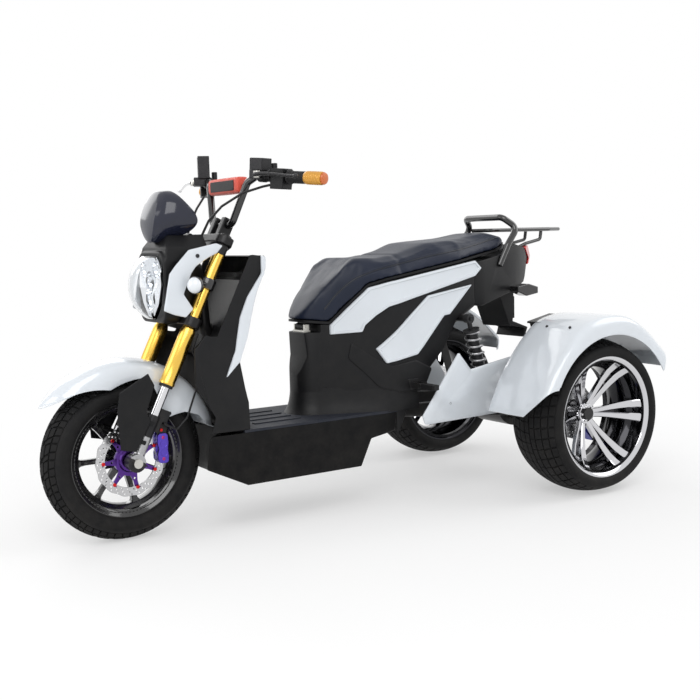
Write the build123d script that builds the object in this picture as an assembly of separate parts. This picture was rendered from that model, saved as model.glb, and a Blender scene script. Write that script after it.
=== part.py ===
from build123d import *
from math import cos, radians, sin, sqrt
import os

# A three-wheeled electric scooter: one raked front wheel, two wide rear wheels.
# Millimetres. +X forward, +Y to the rider's left, +Z up, ground at Z = 0.
# Outlines are lists of (x, z) in side view, with x counted from the middle of the wheelbase.

# --- whole vehicle -----------------------------------------------------------------------------
REAR_OVERHANG = 281.6    # rear axle to the rack's tip
WHEELBASE = 1442.0
REAR_TRACK = 822.0
FRONT_TYRE_R = 236.4
REAR_TYRE_R = 253.0
OVERALL_LENGTH = FRONT_TYRE_R + WHEELBASE + REAR_OVERHANG
FRONT_AXLE_X = OVERALL_LENGTH / 2 - FRONT_TYRE_R
REAR_AXLE_X = FRONT_AXLE_X - WHEELBASE
MID_X = FRONT_AXLE_X - WHEELBASE / 2
RUN_GAP = 0.06          # radial clearance of a turning pin
SOFT_GAP = 0.4          # clearance round soft pieces and under the lid

# --- steering and fork (s runs up the fork from the axle) --------------------------------------
RAKE = 26.3
FORK_HALF = 95.0
FORK_OFFSET = 32.0
FORK_TUBE_R = 17.5
FORK_SLIDER_R = 22.0
STANCHION_R = 14.0
LOWER_LEG_R = 18.0
LEG_TOP_S = 142.0
SLIDER_BOTTOM_S = 232.0
LOWER_CLAMP_S = 410.0
LOWER_CLAMP_T = 30.0
UPPER_CLAMP_S = 668.0
UPPER_CLAMP_T = 24.0
BAR_S = UPPER_CLAMP_S + UPPER_CLAMP_T + 50.0
TUBE_TOP_S = UPPER_CLAMP_S + UPPER_CLAMP_T + 8.0
STEM_R = 14.0
HEAD_TUBE_R = 25.0
HEAD_GAP = 0.8
AXLE_R = 7.5
AXLE_END_Y = 122.0

# --- front wheel -------------------------------------------------------------------------------
FRONT_TYRE_W = 122.0
FRONT_SECTION = 84.0     # tyre's height from bead seat to tread
FRONT_SEAT_R = FRONT_TYRE_R - FRONT_SECTION
FRONT_FLANGE_R = FRONT_SEAT_R + 11.6
FRONT_RIM_HALF = 44.0
FRONT_SPOKES = 7
FRONT_HUB_R = 30.0
FRONT_HUB_HALF = 42.0
DISC_R = 103.0
DISC_INNER_R = 74.0
DISC_T = 4.0
DISC_Y = 60.0
DISC_WAVES = 14
FENDER_R = FRONT_TYRE_R + 51.6
FENDER_HALF = 71.0
FENDER_T = 3.5

# --- rear wheels and axle ----------------------------------------------------------------------
REAR_TYRE_W = 213.0
REAR_SECTION = 75.2
REAR_SEAT_R = REAR_TYRE_R - REAR_SECTION
REAR_FLANGE_R = REAR_SEAT_R + 15.2
REAR_RIM_HALF = 95.0
REAR_SPOKES = 6
REAR_HUB_R = 38.0
REAR_HUB_HALF = 26.0
REAR_HUB_Y = -24.0      # hub centre from the wheel's centre plane, inboard
SPINDLE_R = 12.5
AXLE_TUBE_R = 27.0
REAR_DISC_R = 92.0
REAR_DISC_T = 5.0
FENDER_IN_Y = 296.0
FENDER_OUT_Y = 540.0
REAR_FENDER_T = 4.0
REAR_ARCH_R = REAR_TYRE_R + 15.0

# --- body --------------------------------------------------------------------------------------
WALL = 4.0
FLOOR_Z = 300.0
FLOOR_T = 8.0
BELLY_Z = 136.0
TUB_HALF = 165.0
APRON_HALF = 146.0
BODY_HALF = 156.0
TRIM_T = 5.0
SEAT_HALF = 150.0
SEAT_BASE_T = 8.0
RAIL_R = 13.0
RAIL_Y = 106.0
RAIL_Z = 190.0
BAR_R = 11.0

os.makedirs("parts", exist_ok=True)

RAKE_SIN, RAKE_COS = sin(radians(RAKE)), cos(radians(RAKE))
FORK = Plane(
    origin=(FRONT_AXLE_X, 0, FRONT_TYRE_R),
    x_dir=(RAKE_COS, 0, RAKE_SIN),
    z_dir=(-RAKE_SIN, 0, RAKE_COS),
).location


# --- helpers -----------------------------------------------------------------------------------
def from_mid(points):
    """Side-view points moved from the middle of the wheelbase into the part's frame."""
    return [(x + MID_X, z) for x, z in points]


def slab(points, y_low, y_high, radii=None):
    """A side-view outline, extruded from y_low to y_high. radii rounds its corners."""
    corners = [(x, y_low, z) for x, z in points]
    if radii is None:
        wire = Polyline(*corners, close=True)
    else:
        wire = FilletPolyline(*corners, radius=radii, close=True)
    return extrude(make_face(wire), amount=y_high - y_low, dir=(0, 1, 0))


def plan(points, z_low, z_high):
    """A plan-view outline of (x, y) points, extruded from z_low to z_high."""
    wire = Polyline(*[(x, y, z_low) for x, y in points], close=True)
    return extrude(make_face(wire), amount=z_high - z_low, dir=(0, 0, 1))


def front_view(half, x_low, x_high):
    """A front-view half outline of (y, z) points, mirrored and extruded from x_low to x_high."""
    loop = half + [(-y, z) for y, z in reversed(half)]
    wire = Polyline(*[(x_low, y, z) for y, z in loop], close=True)
    return extrude(make_face(wire), amount=x_high - x_low, dir=(1, 0, 0))


def mirror_plan(half, z_low, z_high):
    """plan() of a half outline, listed at +y and closed by its mirror image."""
    return plan(half + [(x, -y) for x, y in reversed(half)], z_low, z_high)


def across(x, z, radius, y_low, y_high):
    """A round bar that lies across the vehicle."""
    return Pos(x, (y_low + y_high) / 2, z) * Rot(90, 0, 0) * Cylinder(radius, y_high - y_low)


def up_fork(radius, s_low, s_high, y=0.0, x=0.0):
    """A round bar along the fork, x ahead of the fork's centre plane."""
    return FORK * Pos(x, y, (s_low + s_high) / 2) * Cylinder(radius, s_high - s_low)


def fork_point(x, y, s):
    """A point of the fork's frame, in the part's frame."""
    return (
        FRONT_AXLE_X + x * RAKE_COS - s * RAKE_SIN,
        y,
        FRONT_TYRE_R + x * RAKE_SIN + s * RAKE_COS,
    )


def rod(points, radius, bends):
    """A round bar along straight runs, joined by tangent arcs."""
    path = FilletPolyline(*points, radius=bends) if len(points) > 2 else Line(*points)
    return sweep(Plane(origin=path @ 0, z_dir=path % 0) * Circle(radius), path=path)


def both(shape):
    """A left piece and its mirror image on the right."""
    return shape + mirror(shape, about=Plane.XZ)


def spun(points):
    """A section of (radius, y) points turned about the Y axis."""
    wire = Polyline(*[(r, y, 0) for r, y in points], close=True)
    return revolve(make_face(wire), axis=Axis.Y, revolution_arc=360)


# --- wheels ------------------------------------------------------------------------------------
def tyre(seat_r, flange_r, rim_half, outer_r, width, shoulder):
    """A tyre: beads between the rim's flanges, rounded sidewalls and a crowned tread."""
    lip = rim_half - 5
    bead = [(seat_r, lip - 2), (flange_r, lip)]
    side = (flange_r + (outer_r - flange_r) * 0.45, width / 2 - 1.6)
    edge = (outer_r - shoulder, width / 2 - shoulder * 0.55)
    up = [(r, y, 0) for r, y in bead]
    left = Polyline(*up)
    wall = ThreePointArc(up[-1], (*side, 0), (*edge, 0))
    crown = ThreePointArc((*edge, 0), (outer_r, 0, 0), (edge[0], -edge[1], 0))
    wall2 = ThreePointArc((edge[0], -edge[1], 0), (side[0], -side[1], 0), (flange_r, -lip, 0))
    right = Polyline((flange_r, -lip, 0), (seat_r, -lip + 2, 0), up[0])
    return revolve(make_face([left, wall, crown, wall2, right]), axis=Axis.Y)


def rim_barrel(seat_r, flange_r, rim_half, well_r):
    """The rim's hoop: two flanges, two bead seats and a well between them."""
    lip = rim_half - 5
    half = [(flange_r, rim_half), (flange_r, lip), (seat_r, lip - 2), (seat_r, lip * 0.6), (well_r, lip * 0.35)]
    inner = [(r - 5, y) for r, y in half[3:]]
    inner = [(flange_r - 6, rim_half), (seat_r - 6, rim_half - 8)] + inner
    outer = half + [(r, -y) for r, y in reversed(half)]
    back = [(r, -y) for r, y in inner] + list(reversed(inner))
    return spun(outer + back)


def front_rim():
    well_r = FRONT_SEAT_R - 17
    hoop = rim_barrel(FRONT_SEAT_R, FRONT_FLANGE_R, FRONT_RIM_HALF, well_r)
    hub = across(0, 0, FRONT_HUB_R, -FRONT_HUB_HALF, FRONT_HUB_HALF)
    spoke = slab([(20, -10), (well_r - 2, -6), (well_r - 2, 6), (20, 10)], -9, 9)
    shape = hoop + hub
    for i in range(FRONT_SPOKES):
        shape += Rot(0, 360 * i / FRONT_SPOKES, 0) * spoke
    return shape - across(0, 0, AXLE_R + RUN_GAP, -FRONT_HUB_HALF - 1, FRONT_HUB_HALF + 1)


def front_disc():
    """A wavy brake disc, drilled, standing off the hub."""
    disc = across(0, 0, DISC_R - 4, DISC_Y - DISC_T / 2, DISC_Y + DISC_T / 2)
    lobe = across(DISC_R - 13, 0, 13, DISC_Y - DISC_T / 2, DISC_Y + DISC_T / 2)
    slot = across(DISC_R - 16, 0, 5, DISC_Y - DISC_T, DISC_Y + DISC_T)
    cuts = across(0, 0, DISC_INNER_R, DISC_Y - DISC_T, DISC_Y + DISC_T)
    for i in range(DISC_WAVES):
        disc += Rot(0, 360 * i / DISC_WAVES, 0) * lobe
        cuts += Rot(0, 360 * (i + 0.5) / DISC_WAVES, 0) * slot
    return disc - cuts + disc_carrier()


def disc_carrier():
    """The star that carries the disc: a boss on the hub's end and arms under the disc's edge."""
    low, high = FRONT_HUB_HALF, DISC_Y - DISC_T / 2
    boss = across(0, 0, 44, low, DISC_Y + 6)
    arm = slab([(30, -11), (DISC_INNER_R + 8, -8), (DISC_INNER_R + 8, 8), (30, 11)], high - 5, high)
    for i in range(FRONT_SPOKES):
        boss += Rot(0, 360 * i / FRONT_SPOKES, 0) * arm
    return boss - across(0, 0, AXLE_R + RUN_GAP, low - 1, DISC_Y + 8)


def rear_spoke():
    """One double spoke: dished from the hub out to the lip, with a slot down its middle."""
    hub_y, lip_y = REAR_HUB_Y, REAR_RIM_HALF - 34
    root = REAR_HUB_R - 14
    tip = REAR_SEAT_R - 3
    side = Polyline(
        (root, hub_y - 12, 0), (root, hub_y + 20, 0), (tip * 0.6, hub_y + 34, 0), (tip, lip_y + 16, 0),
        (tip, lip_y - 14, 0), (tip * 0.6, hub_y + 10, 0), close=True,
    )
    web = Pos(0, 0, -30) * extrude(make_face(side), amount=60, dir=(0, 0, 1))
    face = slab([(root, -13), (tip, -29), (tip, 29), (root, 13)], hub_y - 30, lip_y + 30)
    gap = slab([(root + 34, -2.5), (tip - 12, -9), (tip - 12, 9), (root + 34, 2.5)], hub_y - 30, lip_y + 30)
    return web & face - gap


def rear_rim():
    """A wide dished wheel, outer face at +y."""
    hoop = rim_barrel(REAR_SEAT_R, REAR_FLANGE_R, REAR_RIM_HALF, REAR_SEAT_R - 18)
    hub = across(0, 0, REAR_HUB_R, REAR_HUB_Y - REAR_HUB_HALF, REAR_HUB_Y + REAR_HUB_HALF)
    shape = hoop + hub
    spoke = rear_spoke()
    for i in range(REAR_SPOKES):
        shape += Rot(0, 360 * i / REAR_SPOKES, 0) * spoke
    return shape - across(0, 0, SPINDLE_R + RUN_GAP, -REAR_RIM_HALF, REAR_RIM_HALF)


def rear_disc():
    low = REAR_HUB_Y - REAR_HUB_HALF - REAR_DISC_T
    disc = across(0, 0, REAR_DISC_R, low, low + REAR_DISC_T)
    cuts = across(0, 0, SPINDLE_R + RUN_GAP, low - 1, low + REAR_DISC_T + 1)
    for i in range(12):
        cuts += Rot(0, 30 * i, 0) * across(REAR_DISC_R - 18, 0, 5, low - 1, low + REAR_DISC_T + 1)
    return disc - cuts


# --- fork and steering -------------------------------------------------------------------------
def clamp_plate(s_low, thickness):
    """A fork crown: one web round both tubes and the stem."""
    rounds = [
        Pos(0, FORK_HALF, 0) * Circle(FORK_TUBE_R + 9),
        Pos(0, -FORK_HALF, 0) * Circle(FORK_TUBE_R + 9),
        Pos(-FORK_OFFSET, 0, 0) * Circle(STEM_R + 12),
    ]
    outline = make_hull([edge for circle in rounds for edge in circle.edges()])
    plate = FORK * Pos(0, 0, s_low) * extrude(outline, amount=thickness, dir=(0, 0, 1))
    for y in (-FORK_HALF, FORK_HALF):
        plate -= up_fork(FORK_TUBE_R, s_low - 1, s_low + thickness + 1, y)
    return plate


def triple_clamps():
    lower = clamp_plate(LOWER_CLAMP_S, LOWER_CLAMP_T)
    upper = clamp_plate(UPPER_CLAMP_S, UPPER_CLAMP_T)
    stem = up_fork(STEM_R, LOWER_CLAMP_S + 4, UPPER_CLAMP_S + UPPER_CLAMP_T + 5, 0, -FORK_OFFSET)
    return lower + upper + stem + bar_risers() + indicator_clamps()


def fork_tubes():
    slider = up_fork(FORK_SLIDER_R, SLIDER_BOTTOM_S, LOWER_CLAMP_S, FORK_HALF)
    tube = up_fork(FORK_TUBE_R, LOWER_CLAMP_S, TUBE_TOP_S, FORK_HALF)
    return both(slider + tube)


def bar_risers():
    x, _, z = BAR_CENTRE
    low = UPPER_CLAMP_S + UPPER_CLAMP_T
    block = FORK * Pos(-FORK_OFFSET + 14, 28, (low + BAR_S + 18) / 2) * Box(36, 24, BAR_S + 18 - low)
    return both(block - across(x, z, BAR_R, -60, 60))


def stanchions():
    return both(up_fork(STANCHION_R, LEG_TOP_S, SLIDER_BOTTOM_S, FORK_HALF))


def lower_legs():
    leg = up_fork(LOWER_LEG_R, 0, LEG_TOP_S, FORK_HALF)
    foot = across(FRONT_AXLE_X, FRONT_TYRE_R, 26, FORK_HALF - 18, FORK_HALF + 19)
    lug = FORK * Pos(-30, FORK_HALF - 8, 150) * Box(36, 10, 34)
    web = FORK * Pos(-24, FORK_HALF - 8, 120) * Box(20, 10, 44)
    ear = across(FRONT_AXLE_X - 98, FRONT_TYRE_R + 131, 6, FENDER_HALF, FORK_HALF - 13)
    leg = leg + foot + lug + web + ear
    leg -= across(FRONT_AXLE_X, FRONT_TYRE_R, AXLE_R, 0, AXLE_END_Y)
    return both(leg - up_fork(STANCHION_R, LEG_TOP_S, SLIDER_BOTTOM_S, FORK_HALF))


def front_axle():
    shaft = across(FRONT_AXLE_X, FRONT_TYRE_R, AXLE_R, -AXLE_END_Y, AXLE_END_Y)
    nut = across(FRONT_AXLE_X, FRONT_TYRE_R, 13, FORK_HALF + 19, AXLE_END_Y)
    spacer = across(FRONT_AXLE_X, FRONT_TYRE_R, 13, DISC_Y + 6.5, FORK_HALF - 18)
    spacer_right = across(FRONT_AXLE_X, FRONT_TYRE_R, 13, -FORK_HALF + 18, -FRONT_HUB_HALF - 0.5)
    return shaft + both(nut) + spacer + spacer_right


def front_fender():
    """An arched fender: a crowned hoop about the axle, trimmed to its side outline."""
    r, w, t = FENDER_R, FENDER_HALF, FENDER_T
    outer = [(r * 0.48, -w), (r - 26, -w), (r, -w * 0.35), (r, w * 0.35), (r - 26, w), (r * 0.48, w)]
    inner = [
        (r * 0.48, w - t), (r - 26 - t, w - t), (r - t, w * 0.35 - t / 2),
        (r - t, -w * 0.35 + t / 2), (r - 26 - t, -w + t), (r * 0.48, -w + t),
    ]
    hoop = Pos(FRONT_AXLE_X, 0, FRONT_TYRE_R) * spun(outer + inner)
    side = [          # shares of the hoop's radius, from the axle
        (0.819, 0.59), (0.625, 1.146), (-0.208, 1.111), (-0.694, 0.903), (-0.99, 0.208), (-0.833, 0.257),
        (-0.743, 0.368), (-0.583, 0.424), (-0.389, 0.382), (-0.292, 0.424), (-0.319, 0.521), (-0.208, 0.806),
        (0.181, 0.715), (0.681, 0.646),
    ]
    outline = slab([(x * r + FRONT_AXLE_X, z * r + FRONT_TYRE_R) for x, z in side], -w - 5, w + 5)
    nose = [(-300, w + 5), (60, w + 5), (150, w * 0.9), (215, w * 0.45), (228, w * 0.2)]
    top = mirror_plan([(x + FRONT_AXLE_X, y) for x, y in nose], 0, 2 * FRONT_TYRE_R + 200)
    return hoop & outline & top


def fork_guards():
    """Dark shields bolted on the outer faces of the lower legs."""
    side = [(45, 203), (-40, 250), (-58, 214), (-30, 140), (-42, 114), (4, 34), (49, 44), (54, 150)]
    y_low = FORK_HALF + LOWER_LEG_R + 4
    plate = slab([(x + FRONT_AXLE_X, z + FRONT_TYRE_R) for x, z in side], y_low, y_low + 4)
    for s in (60, 118):
        plate += FORK * Pos(24, (FORK_HALF + y_low) / 2 + 3, s) * Box(48, y_low - FORK_HALF - 6, 12)
    return both(plate - up_fork(LOWER_LEG_R, 0, LEG_TOP_S, FORK_HALF))


LAMP_X, _, LAMP_Z = fork_point(0, 0, 540)
LAMP_BALL_R = 111.0
LAMP_FRONT = 191.0      # lens front, ahead of the fork's centre line at the lamp's height


def lamp_outline(grow, x_low, x_high):
    """The headlamp's front outline: broad at the brow and narrow at the chin."""
    half = [(26, -92), (62, -56), (86, 12), (82, 52), (48, 88)]
    half = [(y + grow, z + (grow if z > 0 else -grow)) for y, z in half]
    loop = half + [(-y, z) for y, z in reversed(half)]
    corners = [(x_low, y, z) for y, z in loop]
    wire = FilletPolyline(*corners, radius=16, close=True)
    return extrude(make_face(wire), amount=x_high - x_low, dir=(1, 0, 0))


def at_lamp(shape):
    return Pos(LAMP_X, 0, LAMP_Z) * shape


def headlamp_lens():
    ball = Pos(LAMP_FRONT - LAMP_BALL_R, 0, 0) * (Sphere(LAMP_BALL_R) - Sphere(LAMP_BALL_R - 4))
    return at_lamp(ball & lamp_outline(0, 120, 200))


def headlamp_reflector():
    """A bright bowl with a lower and two upper cups."""
    body = lamp_outline(-6, 88, 132)
    cups = Pos(132, 0, -36) * Sphere(34) + Pos(132, 0, 14) * Sphere(30)
    cups += Pos(132, 44, 48) * Sphere(22) + Pos(132, -44, 48) * Sphere(22)
    return at_lamp(body - cups)


def lamp_brow():
    """The cowl over the lamp, which carries the visor."""
    rows = [(70, 122, 190), (110, 116, 176), (146, 96, 116)]      # height, front, width
    brow = loft([Pos((x - 14) / 2, 0, z) * Rectangle(x + 14, width) for z, x, width in rows], ruled=True)
    return brow + Pos(26, 0, 143) * Box(8, 122, 14)


def headlamp_housing():
    """The lamp's shell: rounded sections from the forks out to the lens rim."""
    sections = [(-8, 120, 130, 22), (60, 176, 200, 34), (128, 190, 202, 40)]
    faces = []
    for x, width, height, corner in sections:
        place = Plane(origin=(x, 0, -2), x_dir=(0, 1, 0), z_dir=(1, 0, 0))
        faces.append(place * RectangleRounded(width, height, corner))
    shell = loft(faces)
    bay = lamp_outline(0, 88, 200)
    brow = lamp_brow()
    boss = across(48, 84, 8, 80, 114) + across(96, -44, 8, 80, 114)
    housing = at_lamp(shell + brow + both(boss) - bay)
    housing -= up_fork(HEAD_TUBE_R + 20, 300, TUBE_TOP_S + 100, 0, -FORK_OFFSET)
    return housing - both(up_fork(FORK_TUBE_R, 300, TUBE_TOP_S, FORK_HALF)) - triple_clamps()


def windscreen():
    """A smoked visor wrapped round the brow."""
    rows = [(137, 64, 26, 134), (176, 92, 12, 148), (240, 84, 52, 106), (268, 54, 66, 84)]
    outer, inner = [], []
    for z, half, x_side, x_front in rows:
        for faces, t in ((outer, 0), (inner, 3.0)):
            arc = ThreePointArc((x_side, half - t, z), (x_front - t, 0, z), (x_side, -half + t, z))
            back = Line((x_side, -half + t, z), (x_side, half - t, z))
            faces.append(make_face([arc, back]))
    return at_lamp(loft(outer, ruled=True) - loft(inner, ruled=True) - lamp_brow())


def lamp_wings():
    """Bright C-shaped side panels, bolted to the lamp's bosses."""
    side = [
        (-26, 120), (-46, 112), (-28, 92), (3, 78), (40, 56), (55, 37), (81, -21), (53, -64),
        (77, -87), (112, -78), (142, -65), (121, 37), (103, 59), (60, 103),
    ]
    return both(at_lamp(slab(side, 114, 119)))


def front_indicators():
    ring_s = 530
    ring = up_fork(FORK_TUBE_R + 6, ring_s, ring_s + 30, FORK_HALF)
    ring -= up_fork(FORK_TUBE_R, ring_s - 1, ring_s + 31, FORK_HALF)
    x, _, z = fork_point(0, 0, ring_s + 15)
    stalk = rod([(x + 20, FORK_HALF + 8, z), (x + 64, FORK_HALF + 46, z)], 7, 10)
    return ring, stalk, (x + 64, FORK_HALF + 46, z)


def indicator_clamps():
    ring, stalk, _ = front_indicators()
    stalk -= up_fork(FORK_TUBE_R, 400, TUBE_TOP_S, FORK_HALF)
    return both(ring + stalk)


def indicator_lenses():
    _, stalk, (x, y, z) = front_indicators()
    bulb = Pos(x, y + 14, z) * scale(Sphere(28), by=(0.9, 0.75, 1))
    return both(bulb - stalk - at_lamp(slab([(-60, -120), (160, -120), (160, 140), (-60, 140)], 100, 120)))


# --- handlebar ---------------------------------------------------------------------------------
BAR_CENTRE = fork_point(-18, 0, BAR_S)
BAR_RISE = (-24, 118)          # from the clamp to the crossbar: back and up
BAR_BEND_Y = 122.0
GRIP_END_Y = 375.0
SWEEP_X = 88.0


def bar_points():
    """The left half of the handlebar's centre line, from the middle out."""
    x, _, z = BAR_CENTRE
    return [
        (x, 0, z), (x, 62, z), (x + BAR_RISE[0], BAR_BEND_Y, z + BAR_RISE[1]),
        (x - 38, BAR_BEND_Y + 34, z + 136), (x - 38 - SWEEP_X, GRIP_END_Y, z + 116),
    ]


def bar_spot(share):
    """A plane on the grip's run, share of the way along it, facing outward."""
    a, b = Vector(*bar_points()[3]), Vector(*bar_points()[4])
    return Plane(origin=a + (b - a) * share, z_dir=(b - a).normalized(), x_dir=(0, 0, 1))


def handlebar():
    half = bar_points()
    line = [(x, -y, z) for x, y, z in reversed(half[1:])] + half
    line.pop(len(half) - 1)
    bends = [22, 26, 26, 26, 26, 22]
    bar = rod(line, BAR_R, bends)
    a, b = half[2], half[1]
    cross = rod([(a[0], -a[1] + 6, a[2] - 8), (a[0], a[1] - 6, a[2] - 8)], 6.5, 1)
    return bar + cross


def bar_pad():
    x, _, z = BAR_CENTRE
    core = Pos(x + BAR_RISE[0], 0, z + BAR_RISE[1] - 4) * Box(40, 196, 48)
    core = fillet(core.edges().filter_by(Axis.Y), 12)
    return core - handlebar()


def grips():
    length = (Vector(*bar_points()[4]) - Vector(*bar_points()[3])).length
    start = bar_spot(1 - 122 / length)
    tube = start.location * Pos(0, 0, 61) * (Cylinder(16, 122) - Cylinder(BAR_R, 130))
    return both(tube)


def switchgear():
    length = (Vector(*bar_points()[4]) - Vector(*bar_points()[3])).length
    start = bar_spot(1 - 172 / length)
    pod = start.location * Pos(-6, 0, 24) * Box(58, 44, 46)
    return both(pod - handlebar())


MIRROR_SHARE = 0.203     # between the master's collar and the switches
MIRROR_R = 4.25          # tapping radius of an M10 thread
MIRROR_DEPTH = 16.0


def mirror_foot():
    """The middle of the mirror socket's top face."""
    spot = bar_spot(MIRROR_SHARE)
    x, y, z = spot.origin - spot.y_dir * 21
    return x, y, z + 38


def brake_masters():
    """Master cylinders inboard of the switches: a low reservoir on the left, a tall one on the right."""
    start = bar_spot(0.10).location
    x, y, z = mirror_foot()
    half = start * Cylinder(18, 24) + start * Pos(4, 26, 0) * Box(26, 40, 30)
    half += bar_spot(MIRROR_SHARE).location * Cylinder(16, 18) + Pos(x, y, z - 23) * Cylinder(9, 46)
    low = start * Pos(32, 14, 0) * Box(36, 44, 46)
    tall = start * Pos(48, 14, 0) * Box(70, 36, 34)
    bored = handlebar() + both(Pos(x, y, z) * Cylinder(MIRROR_R, 2 * MIRROR_DEPTH))
    return half + low + mirror(half + tall, about=Plane.XZ) - bored


def levers():
    """Cast levers in front of the grips, from a pivot on each master cylinder."""
    spot = bar_spot(0.10).location
    pivot = (spot * Pos(2, 46, 6)).position
    knee = (spot * Pos(0, 66, 60)).position
    tip = (spot * Pos(4, 84, 178)).position
    blade = rod([pivot, knee, tip], 5, 30)
    end = Pos(*tip) * Sphere(8)
    return both(blade + end) - brake_masters()


def front_caliper():
    """A caliper over the back of the disc, on the left leg's lug."""
    place = Pos(FRONT_AXLE_X - 92, DISC_Y, FRONT_TYRE_R + 26)
    body = place * Box(34, 34, 88) - Pos(FRONT_AXLE_X, 0, FRONT_TYRE_R) * across(
        0, 0, DISC_R + 4, DISC_Y - 10, DISC_Y + 5
    )
    arm = [(-104, 50), (-80, 50), (-82, 120), (-106, 120)]
    return body + slab([(x + FRONT_AXLE_X, z + FRONT_TYRE_R) for x, z in arm], DISC_Y + 17, FORK_HALF - 13)


def control_cables():
    """Looms from the bar into the lamp's shell, and the front brake's hose down the left leg."""
    loom = [(322, 214, 1006), (352, 172, 998), (394, 128, 982), (440, 84, 946), (472, 60, 905), (500, 44, 842)]
    hose = [
        fork_point(-34, 90, 404), fork_point(-34, 95, 352), fork_point(-88, 100, 306), fork_point(-90, 100, 244),
        fork_point(-98, 96, 170), fork_point(-84, 92, 128), (650, 92, 334), (650, 78, 334),
    ]
    loom = rod(loom, 3.6, 16) - switchgear()
    return both(loom) + rod(hose, 3.0, 6) - front_caliper() - lower_legs() - headlamp_housing() - triple_clamps()


# --- chassis -----------------------------------------------------------------------------------
SWEEP_ROWS = [            # (s up the fork, radius swept about the steering axis)
    (-270, 227), (10, 227), (105, 207.5), (196, 199.5), (262, 140), (292, 134), (388, 139), (412, 150), (780, 150),
]
SWEEP_BACK = 72.0         # how far behind the steering axis the fork tubes swing


def steering_sweep(grow):
    """The space that the front wheel, fender and fork tubes swing through."""
    rows = [(0, SWEEP_ROWS[0][0])] + [(r + grow, s) for s, r in SWEEP_ROWS] + [(0, SWEEP_ROWS[-1][0])]
    wire = Polyline(*[(r, 0, s) for r, s in rows], close=True)
    solid = revolve(make_face(wire), axis=Axis.Z)
    behind = Pos(-SWEEP_BACK - grow - 150, 0, 600) * Box(300, 400, 480)
    return FORK * Pos(-FORK_OFFSET, 0, 0) * (solid - behind)


def head_bore(radius, grow=0.0):
    low, high = LOWER_CLAMP_S + LOWER_CLAMP_T + HEAD_GAP, UPPER_CLAMP_S - HEAD_GAP
    return up_fork(radius, low - grow, high + grow, 0, -FORK_OFFSET)


def frame_runs():
    """Centre lines of the frame's tubes: (points, radius, bend radii)."""
    down = [(452, 0, 676), (446, 0, 592), (388, 0, 452), (388, 0, RAIL_Z)]
    rail = [
        (388, 0, RAIL_Z), (388, RAIL_Y, RAIL_Z), (25, RAIL_Y, RAIL_Z), (-50, RAIL_Y, 285),
        (-400, RAIL_Y + 6, 560), (-690, 70, 716),
    ]
    return [
        ([(x + MID_X, y, z) for x, y, z in down], RAIL_R + 4, [40, 60]),
        ([(x + MID_X, y, z) for x, y, z in rail], RAIL_R, [30, 60, 60, 60]),
    ]


PIVOT = (-170.0 + MID_X, 292.0)
SHOCK_TOP = (-414.0 + MID_X, 574.0)
SHOCK_FOOT = (-492.0 + MID_X, 292.0)
SHOCK_Y = 188.0
ARM_Y = (124.0, 148.0)
COVER_Y = 222.0
COIL_R = 24.0
COIL_WIRE_R = 5.0
COIL_TURNS = 8


def main_frame():
    (down, down_r, down_b), (rail, rail_r, rail_b) = frame_runs()
    neck = rod(down, down_r, down_b)
    side = rod(rail, rail_r, 28)
    cross = across(*PIVOT, 12, -ARM_Y[1], ARM_Y[1])
    top = across(*SHOCK_TOP, 11, -SHOCK_Y + 12, SHOCK_Y - 12) + across(*SHOCK_TOP, 7, -SHOCK_Y - 18, SHOCK_Y + 18)
    x, z = PIVOT
    gusset = slab([(x + 24, z + 30), (x + 24, z - 22), (x - 26, z - 22), (x - 30, z + 80)], RAIL_Y - 12, RAIL_Y - 4)
    shape = head_bore(HEAD_TUBE_R) + neck + both(side) + both(gusset) + cross + top
    return shape - up_fork(STEM_R + RUN_GAP, 300, TUBE_TOP_S, 0, -FORK_OFFSET)


LOWER_BODY = from_mid([
    (548, 300), (548, 206), (403, BELLY_Z), (5, BELLY_Z), (-35, 219), (-128, 234), (-140, 300),
])
PLAN_HALF = [(552, 140), (520, 160), (440, TUB_HALF), (-90, TUB_HALF), (-145, TUB_HALF - 6)]


def body_plan(inset, z_low, z_high):
    half = [(x + MID_X - inset, y - inset) for x, y in PLAN_HALF[:3]]
    half += [(x + MID_X + inset, y - inset) for x, y in PLAN_HALF[3:]]
    return mirror_plan(half, z_low, z_high)


def underbody_tub():
    """The open tray under the floor: walls and a stepped belly."""
    outer = slab(LOWER_BODY, -TUB_HALF, TUB_HALF)
    belly = [
        (544, 310), (544, 209), (402, BELLY_Z + WALL), (8, BELLY_Z + WALL), (-32, 223), (-124, 238), (-136, 310),
    ]
    inner = slab(from_mid(belly), -TUB_HALF + WALL, TUB_HALF - WALL)
    shape = outer & body_plan(0, 100, 320)
    inner = (inner & body_plan(WALL, 100, 320)) - steering_sweep(WALL)
    top = Pos(0, 0, FLOOR_Z - FLOOR_T + 50) * Box(3000, 1000, 100)
    return shape - steering_sweep(0) - inner - top


def battery_pack():
    x_low, x_high = 14 + MID_X, 368 + MID_X
    z_low = BELLY_Z + WALL
    return Pos((x_low + x_high) / 2, 0, (z_low + 276) / 2) * Box(x_high - x_low, 176, 276 - z_low)


def floorboard():
    """The flat footboard with a raised rim at its front."""
    x_low, x_high = -140 + MID_X, 410 + MID_X
    board = Pos((x_low + x_high) / 2, 0, FLOOR_Z - FLOOR_T / 2) * Box(x_high - x_low, 2 * TUB_HALF, FLOOR_T)
    rails = frame_runs()
    board = board & body_plan(0, 200, 320)
    for y in (-90, -30, 30, 90):
        board += Pos(MID_X + 262, y, FLOOR_Z + 1.5) * Box(160, 18, 3)
    for sign in (1, -1):
        board -= rod([(x, sign * y, z) for x, y, z in rails[1][0]], rails[1][1], 28)
    return board - rod(rails[0][0], rails[0][1], rails[0][2])


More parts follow.
